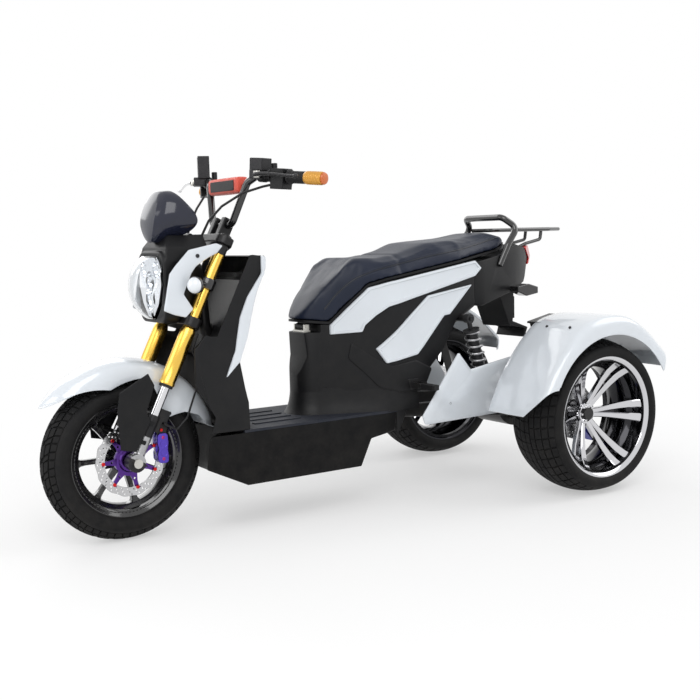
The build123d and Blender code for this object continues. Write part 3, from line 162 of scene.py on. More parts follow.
def scratchGroup():  # fine lines, stretched along one axis by the Mapping that feeds it
    tree, given, out = newGroup(
        "scratch",
        [("NodeSocketVector", "Place", None), ("NodeSocketFloat", "Scale", 60.0), ("NodeSocketFloat", "Rough", 0.25),
         ("NodeSocketFloat", "Spread", 0.15)],
        [("NodeSocketFloat", "Roughness")],
    )
    noise = addNode(tree, "ShaderNodeTexNoise", sockets={"Detail": 4.0, "Roughness": 0.75})
    gloss = addNode(tree, "ShaderNodeMath", {"operation": "MULTIPLY_ADD"})
    wire(tree,
         (given, "Place", noise, "Vector"), (given, "Scale", noise, "Scale"), (noise, "Fac", gloss, 0),
         (given, "Spread", gloss, 1), (given, "Rough", gloss, 2),
         (gloss, 0, out, "Roughness"))
    return tree


def edgeWearGroup():  # lighter, rubbed edges
    tree, given, out = newGroup(
        "edgeWear",
        [("NodeSocketColor", "Colour", (1, 1, 1, 1)), ("NodeSocketColor", "Worn", (1, 1, 1, 1)),
         ("NodeSocketFloat", "Amount", 0.3)],
        [("NodeSocketColor", "Colour")],
    )
    shape = addNode(tree, "ShaderNodeNewGeometry")
    sharp = addNode(tree, "ShaderNodeMapRange", sockets={"From Min": 0.52, "From Max": 0.62})
    share = addNode(tree, "ShaderNodeMath", {"operation": "MULTIPLY", "use_clamp": True})
    mix = addNode(tree, "ShaderNodeMix", {"data_type": "RGBA"})
    wire(tree,
         (shape, "Pointiness", sharp, "Value"), (sharp, 0, share, 0), (given, "Amount", share, 1),
         (share, 0, mix, "Factor"), (given, "Colour", mix, "A"), (given, "Worn", mix, "B"), (mix, "Result", out, "Colour"))
    return tree


groups = {"mottle": mottleGroup(), "grain": grainGroup(), "dust": dustGroup(), "scratch": scratchGroup(),
          "edgeWear": edgeWearGroup()}


def placeGroup(tree, name, sockets=()):
    node = tree.nodes.new("ShaderNodeGroup")
    node.node_tree = groups[name]
    for key, value in dict(sockets).items():
        node.inputs[key].default_value = value
    return node


# one row per finish; the keys that a row leaves out take these values
finishBase = {
    "rough": 0.4, "metal": 0.0, "coat": 0.0, "coatRough": 0.06, "scale": 12.0, "drift": 0.12, "roughDrift": 0.12,
    "grain": 0.0, "grainScale": 900.0, "pits": 0.5, "dust": 0.0, "dustTop": 0.45, "worn": None, "brushed": None,
    "ior": 1.5, "glass": 0.0, "sheen": 0.0, "specular": 0.5,
}
finishes = {
    "pearlWhite": {"colour": (0.66, 0.70, 0.745), "rough": 0.22, "coat": 0.9, "drift": 0.05, "scale": 5, "roughDrift": 0.06,
                   "dust": 0.10, "dustTop": 0.9},
    "grainedBlack": {"colour": (0.0060, 0.0062, 0.0072), "rough": 0.42, "specular": 0.22, "grain": 0.00010, "grainScale": 1300,
                     "drift": 0.16,
                     "scale": 5, "roughDrift": 0.12, "dust": 0.025, "dustTop": 0.9},
    "tubBlack": {"colour": (0.004, 0.004, 0.0045), "rough": 0.36, "specular": 0.12, "grain": 0.00008, "grainScale": 1000,
                 "dust": 0.06,
                 "drift": 0.15, "dustTop": 0.4},
    "deckBlack": {"colour": (0.012, 0.015, 0.024), "rough": 0.60, "specular": 0.25, "grain": 0.00022, "grainScale": 700,
                  "dust": 0.06,
                  "dustTop": 0.9},
    "glossBlack": {"colour": (0.007, 0.007, 0.008), "rough": 0.18, "specular": 0.4, "coat": 0.8, "drift": 0.1, "dust": 0.04,
                   "dustTop": 1.2},
    "satinBlack": {"colour": (0.011, 0.011, 0.012), "rough": 0.32, "metal": 0.3, "specular": 0.35, "grain": 0.00006,
                   "grainScale": 1500, "drift": 0.2, "dust": 0.15, "worn": (0.06, 0.06, 0.062)},
    "castBlack": {"colour": (0.016, 0.016, 0.018), "rough": 0.38, "metal": 0.5, "specular": 0.35, "grain": 0.00016,
                  "grainScale": 800, "drift": 0.25, "dust": 0.18, "worn": (0.09, 0.09, 0.092)},
    "goldAnodised": {"colour": (0.86, 0.55, 0.10), "rough": 0.24, "metal": 1.0, "drift": 0.10, "brushed": (1, 1, 22),
                     "coat": 0.15},
    "chromeBright": {"colour": (0.62, 0.62, 0.64), "rough": 0.09, "metal": 1.0, "drift": 0.04, "roughDrift": 0.04},
    # a near-black copy of the chrome: painted shade in the deep barrel and in the slots between the rear rims' double
    # spokes
    "chromePaintedShade": {"colour": (0.035, 0.035, 0.038), "rough": 0.12, "metal": 1.0, "drift": 0.08, "roughDrift": 0.05},
    "hardChrome": {"colour": (0.70, 0.70, 0.72), "rough": 0.12, "metal": 1.0, "brushed": (1, 1, 14)},
    "groundSteel": {"colour": (0.56, 0.56, 0.57), "rough": 0.24, "metal": 1.0, "brushed": (1, 26, 1), "drift": 0.2},
    "zincSteel": {"colour": (0.58, 0.57, 0.53), "rough": 0.32, "metal": 1.0, "drift": 0.25, "scale": 60},
    "polishedAlloy": {"colour": (0.72, 0.72, 0.73), "rough": 0.20, "metal": 1.0, "brushed": (1, 10, 1)},
    "blueAnodised": {"colour": (0.03, 0.035, 0.26), "rough": 0.25, "metal": 1.0, "drift": 0.2, "coat": 0.2},
    "indigoAnodised": {"colour": (0.10, 0.06, 0.46), "rough": 0.26, "metal": 0.9, "drift": 0.15, "coat": 0.2},
    "violetAnodised": {"colour": (0.085, 0.03, 0.22), "rough": 0.24, "metal": 1.0, "drift": 0.2, "coat": 0.2},
    "redAnodised": {"colour": (0.62, 0.03, 0.03), "rough": 0.28, "metal": 1.0},
    "tyreRubber": {"colour": (0.0065, 0.0066, 0.0072), "rough": 0.70, "specular": 0.18, "grain": 0.00010, "grainScale": 500,
                   "drift": 0.35, "scale": 16,
                   "dust": 0.05, "dustTop": 0.5},
    "gripRubber": {"colour": (0.010, 0.010, 0.011), "rough": 0.56, "specular": 0.3, "grain": 0.00018, "grainScale": 650},
    "amberGrip": {"colour": (0.62, 0.30, 0.035), "rough": 0.30, "metal": 0.25, "coat": 0.3, "drift": 0.06},
    "redCover": {"colour": (0.62, 0.07, 0.04), "rough": 0.55, "grain": 0.00012, "grainScale": 900, "sheen": 0.2},
    # the seat's navy-black vinyl colour is pushed towards blue: partly its own colour, partly a painted sky reflection
    # on its top
    "seatVinyl": {"colour": (0.010, 0.0145, 0.030), "rough": 0.38, "specular": 0.26, "grain": 0.00022, "grainScale": 420,
                  "pits": 0.8, "drift": 0.25,
                  "scale": 9, "roughDrift": 0.16},
    "smokedScreen": {"colour": (0.010, 0.012, 0.026), "rough": 0.14, "coat": 0.15, "drift": 0.05, "specular": 0.45},
    "clearLens": {"colour": (0.93, 0.95, 0.97), "rough": 0.03, "glass": 1.0, "ior": 1.45, "roughDrift": 0.01, "drift": 0.02},
    "mirrorBowl": {"colour": (0.82, 0.83, 0.85), "rough": 0.08, "metal": 1.0, "drift": 0.05},
    "redLens": {"colour": (0.55, 0.012, 0.012), "rough": 0.12, "coat": 0.8, "drift": 0.1},
    "cableBlack": {"colour": (0.008, 0.008, 0.009), "rough": 0.36, "drift": 0.2, "specular": 0.35},
    "greyCase": {"colour": (0.06, 0.06, 0.065), "rough": 0.5, "drift": 0.2},
    "castAlloy": {"colour": (0.42, 0.42, 0.43), "rough": 0.30, "metal": 0.9, "grain": 0.00010, "grainScale": 900, "drift": 0.2},
    "springSteel": {"colour": (0.34, 0.34, 0.35), "rough": 0.28, "metal": 0.9, "drift": 0.15},
    "zincDark": {"colour": (0.025, 0.025, 0.028), "rough": 0.40, "metal": 0.3, "drift": 0.2, "scale": 60},
    "orangeCap": {"colour": (0.55, 0.12, 0.015), "rough": 0.36, "coat": 0.3, "drift": 0.1},
    "threadGrey": {"colour": (0.05, 0.055, 0.065), "rough": 0.6, "drift": 0.3, "scale": 90},
    "seatPiping": {"colour": (0.010, 0.012, 0.018), "rough": 0.34, "specular": 0.4, "grain": 0.00010, "grainScale": 700},
    "bareRubber": {"colour": (0.020, 0.020, 0.021), "rough": 0.5, "specular": 0.3, "grain": 0.0001, "grainScale": 800},
    "clearPlastic": {"colour": (0.74, 0.77, 0.80), "rough": 0.10, "coat": 0.9, "drift": 0.06, "scale": 30},
}


def makeFinish(name):
    row = dict(finishBase, **finishes[name])
    material = bpy.data.materials.new(name)
    material.use_nodes = True
    tree = material.node_tree
    shader = tree.nodes["Principled BSDF"]
    link = tree.links.new
    place = tree.nodes.new("ShaderNodeTexCoord").outputs["Object"]
    mottle = placeGroup(tree, "mottle", {"Colour": (*row["colour"], 1), "Scale": row["scale"], "Drift": row["drift"],
                                         "Rough": row["rough"], "Rough Drift": row["roughDrift"]})
    link(place, mottle.inputs["Place"])
    colour, gloss = mottle.outputs["Colour"], mottle.outputs["Roughness"]
    if row["brushed"]:
        mapping = addNode(tree, "ShaderNodeMapping", sockets={"Scale": row["brushed"]})
        lines = placeGroup(tree, "scratch", {"Scale": 40.0, "Rough": row["rough"] - 0.06, "Spread": 0.14})
        link(place, mapping.inputs["Vector"])
        link(mapping.outputs[0], lines.inputs["Place"])
        gloss = lines.outputs["Roughness"]
    if row["dust"]:
        dust = placeGroup(tree, "dust", {"Amount": row["dust"], "Top": row["dustTop"]})
        link(place, dust.inputs["Place"])
        link(colour, dust.inputs["Colour"])
        colour = dust.outputs["Colour"]
    if row["worn"]:
        wear = placeGroup(tree, "edgeWear", {"Worn": (*row["worn"], 1)})
        link(colour, wear.inputs["Colour"])
        colour = wear.outputs["Colour"]
    if row["grain"]:
        grain = placeGroup(tree, "grain", {"Scale": row["grainScale"], "Pits": row["pits"]})
        bump = addNode(tree, "ShaderNodeBump", sockets={"Strength": 0.6, "Distance": row["grain"] * 3})
        link(place, grain.inputs["Place"])
        link(grain.outputs["Height"], bump.inputs["Height"])
        link(bump.outputs[0], shader.inputs["Normal"])
    link(colour, shader.inputs["Base Color"])
    link(gloss, shader.inputs["Roughness"])
    for socket, key in (("Metallic", "metal"), ("Coat Weight", "coat"), ("Coat Roughness", "coatRough"), ("IOR", "ior"),
                        ("Transmission Weight", "glass"), ("Sheen Weight", "sheen"),
                        ("Specular IOR Level", "specular")):
        shader.inputs[socket].default_value = row[key]
    return material


materials = {name: makeFinish(name) for name in finishes}
print("finishes ready", len(materials))


def paintNode(node, name):
    mesh = nodes[node].data
    mesh.materials.clear()
    mesh.materials.append(materials[name])


# which finish each carried-over node wears
nodeFinishes = {
    "pearlWhite": ["front_fender", "lamp_wings", "leg_shield_trim", "upper_strips", "lower_strips", "swingarm_covers",
                   "rear_fenders"],
    "grainedBlack": ["front_apron", "inner_shield", "side_body", "tail_cowl", "headlamp_housing", "plate_hanger",
                     "rear_indicators",
                     "switchgear", "fork_guards", "seat_base", "luggage_box"],
    "tubBlack": ["underbody_tub"], "deckBlack": ["floorboard"],
    "glossBlack": ["handlebar", "rear_rack", "front_rim"],
    "satinBlack": ["triple_clamps", "main_frame", "axle_housing", "swingarm", "peg_brackets", "shock_springs"],
    "castBlack": ["lower_legs", "brake_masters", "shock_bodies"],
    "goldAnodised": ["fork_tubes"], "hardChrome": ["stanchions"],
    "chromeBright": ["rear_rim_left", "rear_rim_right"],
    "groundSteel": ["front_disc", "rear_disc_left", "rear_disc_right"], "zincSteel": ["front_axle", "seat_hinge"],
    "polishedAlloy": ["levers"], "blueAnodised": ["rear_calipers"], "violetAnodised": ["front_caliper"],
    "tyreRubber": ["front_tyre", "rear_tyre_left", "rear_tyre_right"], "gripRubber": ["grips", "footpeg_left", "footpeg_right"],
    "redCover": ["bar_pad"], "seatVinyl": ["seat_cushion"], "smokedScreen": ["windscreen"], "clearLens": ["headlamp_lens"],
    "clearPlastic": ["front_indicators"], "cableBlack": ["control_cables"],
    "mirrorBowl": ["headlamp_reflector"], "redLens": ["tail_lamp"], "greyCase": ["battery_pack"],
}
for finish, names in nodeFinishes.items():
    for name in names:
        paintNode(name, finish)
print("nodes painted")


# small mesh tools; sizes are millimetres in the set-up tables and metres in the meshes
def metres(points):
    return [tuple(value / 1000 for value in point) for point in points]


@contextmanager
def editing(mesh):
    work = bmesh.new()
    work.from_mesh(mesh)
    yield work
    work.to_mesh(mesh)
    work.free()


def shaded(mesh, sharp):  # smooth, with creases past the given angle
    mesh.polygons.foreach_set("use_smooth", [True] * len(mesh.polygons))
    mesh.set_sharp_from_angle(angle=math.radians(sharp))
    return mesh


def tidyMesh(name, verts, faces, sharp=38, faceFinish=None):
    mesh = bpy.data.meshes.new(name)
    mesh.from_pydata(verts, [], faces)
    if faceFinish:
        mesh.polygons.foreach_set("material_index", faceFinish)
    with editing(mesh) as work:
        bmesh.ops.remove_doubles(work, verts=work.verts, dist=0.00001)
        bmesh.ops.recalc_face_normals(work, faces=work.faces)
    return shaded(mesh, sharp)


def joined(shapes):
    verts, faces, finish = [], [], []
    for shape in shapes:
        start = len(verts)
        verts += shape[0]
        faces += [tuple(index + start for index in face) for face in shape[1]]
        finish += [shape[2] if len(shape) > 2 else 0] * len(shape[1])
    return verts, faces, finish


def moved(shape, place):
    return ([tuple(place @ Vector(vert)) for vert in shape[0]], *shape[1:])


def mirrored(shape):
    return ([(x, -y, z) for x, y, z in shape[0]], [tuple(reversed(face)) for face in shape[1]], *shape[2:])


def pairOf(shapes):
    return shapes + [mirrored(shape) for shape in shapes]


def addPiece(name, shapes, finish, body, replaced=(), sharp=38):
    if isinstance(shapes, bpy.types.Mesh):
        mesh = shapes
    else:
        verts, faces, faceFinish = joined(shapes)
        mesh = tidyMesh(name, verts, faces, sharp, faceFinish)
    picked = [face.material_index for face in mesh.polygons]
    mesh.materials.clear()
    for item in [finish] if isinstance(finish, str) else finish:
        mesh.materials.append(materials[item])
    mesh.polygons.foreach_set("material_index", [min(index, len(mesh.materials) - 1) for index in picked])
    piece = setDown(name, mesh)
    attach(piece, body)
    if replaced:
        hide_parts(*replaced)
    return piece


def skin(loops, closed=True, caps=True, ring=False):  # joins loops of equal length
    count = len(loops[0])
    verts = [tuple(vert) for loop in loops for vert in loop]
    faces = []
    last = len(loops) if ring else len(loops) - 1
    for row in range(last):
        low, high = row * count, (row + 1) % len(loops) * count
        for i in range(count if closed else count - 1):
            j = (i + 1) % count
            faces.append((low + i, low + j, high + j, high + i))
    if caps and closed and not ring:
        faces.append(tuple(reversed(range(count))))
        faces.append(tuple(range((len(loops) - 1) * count, len(loops) * count)))
    return verts, faces


def lathe(profile, place=None, steps=64, closed=False, finish=0):  # (radius, along) turned about the local Y axis
    loops = [[(r * math.cos(a), y, -r * math.sin(a)) for r, y in profile] for a in fullTurn(steps)]
    verts, faces = skin(loops, closed=closed, caps=False, ring=True)
    shape = (metres(verts), faces, finish)
    return moved(shape, place) if place else shape


def tube(points, radius, sides=12, caps=True):
    loops, path = [], [Vector(point) for point in points]
    side = None
    for i, point in enumerate(path):
        ahead = (path[min(i + 1, len(path) - 1)] - path[max(i - 1, 0)]).normalized()
        if side is None:
            side = ahead.orthogonal().normalized()
        side = (side - ahead * side.dot(ahead)).normalized()
        other = ahead.cross(side)
        size = radius[i] if isinstance(radius, (list, tuple)) else radius
        loops.append([point + (side * math.cos(a) + other * math.sin(a)) * size for a in fullTurn(sides)])
    return skin(loops, caps=caps)


def smoothPath(points, steps=8):  # a curve through the points
    path = [Vector(point) for point in points]
    path = [path[0] * 2 - path[1]] + path + [path[-1] * 2 - path[-2]]
    out = []
    for i in range(1, len(path) - 2):
        a, b, c, d = path[i - 1 : i + 3]
        for k in range(steps):
            t = k / steps
            out.append(0.5 * (2 * b + (c - a) * t + (2 * a - 5 * b + 4 * c - d) * t * t + (3 * b - a - 3 * c + d) * t ** 3))
    out.append(path[-2])
    return out


def roundedLoop(corners, radius, steps=4):  # rounds the corners of a closed outline
    out, count = [], len(corners)
    for i in range(count):
        before, here, after = (Vector(corners[(i + k) % count]) for k in (-1, 0, 1))
        size = radius[i] if isinstance(radius, (list, tuple)) else radius
        start = here + (before - here).normalized() * min(size, (before - here).length * 0.45)
        stop = here + (after - here).normalized() * min(size, (after - here).length * 0.45)
        for k in range(steps + 1):
            t = k / steps
            out.append(start * (1 - t) ** 2 + here * 2 * t * (1 - t) + stop * t * t)
    return out


def arcThrough(a, b, c, steps):  # points of the arc from a by b to c, in a plane
    (ax, ay), (bx, by), (cx, cy) = a, b, c
    d = 2 * (ax * (by - cy) + bx * (cy - ay) + cx * (ay - by))
    ux = ((ax ** 2 + ay ** 2) * (by - cy) + (bx ** 2 + by ** 2) * (cy - ay) + (cx ** 2 + cy ** 2) * (ay - by)) / d
    uy = ((ax ** 2 + ay ** 2) * (cx - bx) + (bx ** 2 + by ** 2) * (ax - cx) + (cx ** 2 + cy ** 2) * (bx - ax)) / d
    start, middle, stop = (math.atan2(y - uy, x - ux) for x, y in (a, b, c))
    while middle < start:
        middle += 2 * math.pi
    while stop < start:
        stop += 2 * math.pi
    if middle > stop:
        stop -= 2 * math.pi
    radius = math.hypot(ax - ux, ay - uy)
    angles = [start + (stop - start) * k / steps for k in range(steps + 1)]
    return [(ux + radius * math.cos(a), uy + radius * math.sin(a)) for a in angles]


def plateWithHoles(outline, holes, low, high):  # flat plate from low to high along Y, outlines in (x, z)
    verts, edges, loops = [], [], []
    for loop in [outline] + holes:
        start = len(verts)
        verts += [Vector((p[0], p[1])) for p in loop]
        edges += [(start + i, start + (i + 1) % len(loop)) for i in range(len(loop))]
        loops.append(list(range(start, start + len(loop))))
    points, _, triangles, *_ = geometry.delaunay_2d_cdt(verts, edges, loops, 2, 1e-6)
    count = len(points)
    faces = [tuple(face) for face in triangles] + [tuple(i + count for i in reversed(face)) for face in triangles]
    seen = {}
    for face in triangles:
        for i, a in enumerate(face):
            b = face[(i + 1) % len(face)]
            seen.setdefault((min(a, b), max(a, b)), []).append((a, b))
    for pairs in seen.values():
        if len(pairs) == 1:
            a, b = pairs[0]
            faces.append((b, a, a + count, b + count))
    verts = [(p.x, low, p.y) for p in points] + [(p.x, high, p.y) for p in points]
    return metres(verts), faces


def fullTurn(steps):  # evenly spaced angles
    return [2 * math.pi * k / steps for k in range(steps)]


def circle(x, z, radius, steps):
    return [(x + radius * math.cos(a), z + radius * math.sin(a)) for a in fullTurn(steps)]


def ringLoop(along, radius, height, steps):  # a ring about an upright line, for nuts and buttons
    return [(along + radius * math.cos(a), height, radius * math.sin(a)) for a in fullTurn(steps)]


def gridFaces(rows, wide):  # faces over rows of points
    return [(j, j + 1, j + 1 + wide, j + wide) for i in range(rows) for j in range(i * wide, (i + 1) * wide - 1)]


def placed(x=0, y=0, z=0):  # a place given in millimetres
    return Matrix.Translation((x / 1000, y / 1000, z / 1000))


def cadCopy(name, dissolve=0, sharp=60):  # a merged copy of a CAD node's mesh
    mesh = nodes[name].data.copy()
    with editing(mesh) as work:
        bmesh.ops.remove_doubles(work, verts=work.verts, dist=0.00002)
        if dissolve:
            bmesh.ops.dissolve_limit(work, angle_limit=math.radians(dissolve), verts=work.verts, edges=work.edges)
    return shaded(mesh, sharp)


forkSetup = {"rake": 26.3, "axle": (743.6, 0, 236.4), "half": 95.0}


def forkPlace():  # the fork's frame: x ahead, z up the fork from the axle
    rake = math.radians(forkSetup["rake"])
    turn = Matrix(((math.cos(rake), 0, -math.sin(rake)), (0, 1, 0), (math.sin(rake), 0, math.cos(rake))))
    return placed(*forkSetup["axle"]) @ turn.to_4x4()


alongFork = forkPlace() @ Matrix.Rotation(math.radians(90), 4, "X")  # a lathe's Y axis turned up the fork


# node trees that repeat a shape
def growTree(name, inputs):
    tree = bpy.data.node_groups.new(name, "GeometryNodeTree")
    tree.interface.new_socket("Geometry", in_out="INPUT", socket_type="NodeSocketGeometry")
    for kind, label, value in inputs:
        socket = tree.interface.new_socket(label, in_out="INPUT", socket_type=kind)
        if value is not None:
            socket.default_value = value
    tree.interface.new_socket("Geometry", in_out="OUTPUT", socket_type="NodeSocketGeometry")
    return tree, tree.nodes.new("NodeGroupInput"), tree.nodes.new("NodeGroupOutput")


def endTree(tree, given, out, geometrySocket):
    real = tree.nodes.new("GeometryNodeRealizeInstances")
    paint = tree.nodes.new("GeometryNodeSetMaterial")
    tree.links.new(geometrySocket, real.inputs[0])
    tree.links.new(real.outputs[0], paint.inputs["Geometry"])
    tree.links.new(given.outputs["Finish"], paint.inputs["Material"])
    tree.links.new(paint.outputs[0], out.inputs[0])


def aroundAxleTree():  # turns copies of the shape about the Y axis, then moves them to the axle
    tree, given, out = growTree("aroundAxle", [
        ("NodeSocketInt", "Count", 12), ("NodeSocketFloat", "Start", 0.0), ("NodeSocketVector", "Axle", (0, 0, 0)),
        ("NodeSocketMaterial", "Finish", None)])
    points = tree.nodes.new("GeometryNodePoints")
    index = tree.nodes.new("GeometryNodeInputIndex")
    share = addNode(tree, "ShaderNodeMath", {"operation": "DIVIDE"}, {0: 2 * math.pi})
    angle = addNode(tree, "ShaderNodeMath", {"operation": "MULTIPLY_ADD"})
    turn = tree.nodes.new("ShaderNodeCombineXYZ")
    rotation = tree.nodes.new("FunctionNodeEulerToRotation")
    copies = tree.nodes.new("GeometryNodeInstanceOnPoints")
    place = tree.nodes.new("GeometryNodeTransform")
    wire(tree,
         (given, "Count", points, "Count"), (given, "Count", share, 1), (index, 0, angle, 0), (share, 0, angle, 1),
         (given, "Start", angle, 2), (angle, 0, turn, "Y"), (turn, 0, rotation, 0), (points, 0, copies, "Points"),
         (given, "Geometry", copies, "Instance"), (rotation, 0, copies, "Rotation"), (copies, 0, place, "Geometry"),
         (given, "Axle", place, "Translation"))
    endTree(tree, given, out, place.outputs[0])
    return tree


def coilTree():  # a wound spring from foot to top
    tree, given, out = growTree("coil", [
        ("NodeSocketFloat", "Turns", 7.0), ("NodeSocketFloat", "Radius", 0.024), ("NodeSocketFloat", "Length", 0.2),
        ("NodeSocketFloat", "Wire", 0.004), ("NodeSocketVector", "Foot", (0, 0, 0)), ("NodeSocketVector", "Lean", (0, 0, 0)),
        ("NodeSocketMaterial", "Finish", None)])
    spiral = addNode(tree, "GeometryNodeCurveSpiral", sockets={"Resolution": 26})
    section = addNode(tree, "GeometryNodeCurvePrimitiveCircle", sockets={"Resolution": 10})
    mesh = tree.nodes.new("GeometryNodeCurveToMesh")
    mesh.inputs["Fill Caps"].default_value = True
    lean = tree.nodes.new("FunctionNodeEulerToRotation")
    place = tree.nodes.new("GeometryNodeTransform")
    smooth = tree.nodes.new("GeometryNodeSetShadeSmooth")
    wire(tree,
         (given, "Turns", spiral, "Rotations"), (given, "Radius", spiral, "Start Radius"),
         (given, "Radius", spiral, "End Radius"), (given, "Length", spiral, "Height"), (given, "Wire", section, "Radius"),
         (spiral, 0, mesh, "Curve"), (section, 0, mesh, "Profile Curve"), (mesh, 0, smooth, "Geometry"),
         (smooth, 0, place, "Geometry"), (given, "Foot", place, "Translation"), (given, "Lean", lean, 0),
         (lean, 0, place, "Rotation"))
    endTree(tree, given, out, place.outputs[0])
    return tree


def screwTree():  # sets the shape on each vertex, its Z axis along the vertex's facing
    tree, given, out = growTree("screwHeads", [("NodeSocketObject", "Head", None), ("NodeSocketMaterial", "Finish", None)])
    link = tree.links.new
    head = tree.nodes.new("GeometryNodeObjectInfo")
    facing = addNode(tree, "GeometryNodeInputNamedAttribute", {"data_type": "FLOAT_VECTOR"}, {"Name": "facing"})
    size = addNode(tree, "GeometryNodeInputNamedAttribute", {"data_type": "FLOAT"}, {"Name": "size"})
    align = addNode(tree, "FunctionNodeAlignRotationToVector", {"axis": "Z"})
    copies = tree.nodes.new("GeometryNodeInstanceOnPoints")
    link(given.outputs["Head"], head.inputs["Object"])
    link(next(s for s in facing.outputs if s.enabled), align.inputs["Vector"])
    wire(tree,
         (given, "Geometry", copies, "Points"), (head, "Geometry", copies, "Instance"), (align, 0, copies, "Rotation"))
    link(next(s for s in size.outputs if s.enabled), copies.inputs["Scale"])
    endTree(tree, given, out, copies.outputs[0])
    return tree


def stitchTree():  # short threads laid end to end along the line
    tree, given, out = growTree("stitches", [
        ("NodeSocketFloat", "Pitch", 0.006), ("NodeSocketFloat", "Thread", 0.0006), ("NodeSocketMaterial", "Finish", None)])
    line = tree.nodes.new("GeometryNodeMeshToCurve")
    along = addNode(tree, "GeometryNodeCurveToPoints", {"mode": "LENGTH"})
    thread = addNode(tree, "GeometryNodeMeshUVSphere", sockets={"Segments": 6, "Rings": 5})
    stretch = addNode(tree, "ShaderNodeCombineXYZ", sockets={"X": 1.0, "Y": 1.0, "Z": 3.4})
    copies = tree.nodes.new("GeometryNodeInstanceOnPoints")
    wire(tree,
         (given, "Geometry", line, "Mesh"), (line, 0, along, "Curve"), (given, "Pitch", along, "Length"),
         (given, "Thread", thread, "Radius"), (along, "Points", copies, "Points"), (along, "Rotation", copies, "Rotation"),
         (thread, "Mesh", copies, "Instance"), (stretch, 0, copies, "Scale"))
    endTree(tree, given, out, copies.outputs[0])
    return tree


trees = {"aroundAxle": aroundAxleTree(), "coil": coilTree(), "screwHeads": screwTree(), "stitches": stitchTree()}


def grown(seedMesh, treeName, values):  # runs a tree on a mesh and returns the plain result
    seed = setDown("seed", seedMesh)
    modifier = seed.modifiers.new("grow", "NODES")
    modifier.node_group = trees[treeName]
    for item in trees[treeName].interface.items_tree:
        if item.in_out == "INPUT" and item.name in values:
            modifier[item.identifier] = values[item.name]
    bpy.context.view_layer.update()
    mesh = bpy.data.meshes.new_from_object(seed.evaluated_get(bpy.context.evaluated_depsgraph_get()))
    bpy.data.objects.remove(seed)
    return mesh


def meshShape(mesh, finish=0):  # a mesh's points and faces, to join with others
    return [tuple(vert.co) for vert in mesh.vertices], [tuple(face.vertices) for face in mesh.polygons], finish


def aroundAxle(shapes, count, axle, finish=0, start=0.0):
    verts, faces, _ = joined(shapes)
    seed = bpy.data.meshes.new("seed")
    seed.from_pydata(verts, [], faces)
    values = {"Count": count, "Start": start, "Axle": axle, "Finish": materials["zincSteel"]}
    return meshShape(grown(seed, "aroundAxle", values), finish)


print("tools ready")


# tyres: a carcass whose crown is sunk by the groove depth, and tread blocks that stand up to the true radius
frontTyre = {
    "axle": (0.7436, 0, 0.2364), "seat": 152.4, "flange": 164.0, "lip": 39, "radius": 236.4, "width": 122, "shoulder": 26,
    "groove": 5.0, "pitches": 30, "steps": 90, "ribs": [(0.16, 1.1), (0.22, 0.8), (0.74, 1.0)],
    "blocks": [  # corners as (share of the pitch, share of the half crown)
        [(-0.46, 0.03), (0.24, 0.03), (0.40, 0.27), (-0.30, 0.27)],
        [(-0.20, 0.35), (0.34, 0.35), (0.50, 0.60), (0.00, 0.60)],
        [(-0.56, 0.36), (-0.32, 0.36), (-0.12, 0.60), (-0.38, 0.60)],
        [(0.08, 0.67), (0.52, 0.67), (0.56, 0.97), (0.18, 0.97)],
        [(-0.38, 0.67), (-0.02, 0.67), (0.08, 0.97), (-0.32, 0.97)],
    ],
}
rearTyre = {
    "axle": (-0.6984, 0.411, 0.253), "seat": 177.8, "flange": 193.0, "lip": 90, "radius": 253.0, "width": 213, "shoulder": 22,
    "groove": 4.5, "pitches": 44, "steps": 96, "ribs": [(0.14, 1.2), (0.20, 0.8), (0.66, 1.0)],
    "blocks": [
        [(-0.50, 0.03), (0.44, 0.03), (0.50, 0.20), (-0.44, 0.20)],
        [(-0.50, 0.25), (0.42, 0.25), (0.54, 0.47), (-0.38, 0.47)],
        [(-0.36, 0.52), (0.46, 0.52), (0.62, 0.74), (-0.20, 0.74)],
        [(-0.18, 0.78), (0.66, 0.78), (0.74, 0.98), (-0.10, 0.98)],
    ],
}


def shoulderEdge(setup):
    return setup["radius"] - setup["shoulder"], setup["width"] / 2 - setup["shoulder"] * 0.55


def crownArc(setup):
    half, drop = shoulderEdge(setup)[1], setup["shoulder"]
    rise = (half * half + drop * drop) / (2 * drop)  # the crown's own radius
    return setup["radius"] - rise, rise, math.asin(min(1, half / rise))


def onTread(setup, u, v, depth):
    middle, rise, spread = crownArc(setup)
    angle = 2 * math.pi * u / setup["pitches"]
    r = middle + (rise - depth) * math.cos(v * spread)
    return r * math.cos(angle), (rise - depth) * math.sin(v * spread), r * math.sin(angle)


def carcassProfile(setup):
    side = (setup["flange"] + (setup["radius"] - setup["flange"]) * 0.45, setup["width"] / 2 - 1.6)
    wall = arcThrough((setup["flange"], setup["lip"]), side, shoulderEdge(setup), 16)
    shaped = []
    for k, (r, y) in enumerate(wall):
        t = k / 16
        swell = sum(size * math.exp(-((t - at) / 0.03) ** 2) for at, size in setup["ribs"])
        shaped.append((r, y + swell * 0.7))
    crown = []
    middle, rise, spread = crownArc(setup)
    for k in range(1, 24):
        v = 1 - k / 12
        sunk = setup["groove"] * min(1, max(0, (1.0 - abs(v)) / 0.06))
        crown.append((middle + (rise - sunk) * math.cos(v * spread), (rise - sunk) * math.sin(v * spread)))
    half = [(setup["seat"], setup["lip"] - 2)] + shaped
    return half + crown + [(r, -y) for r, y in reversed(half)]


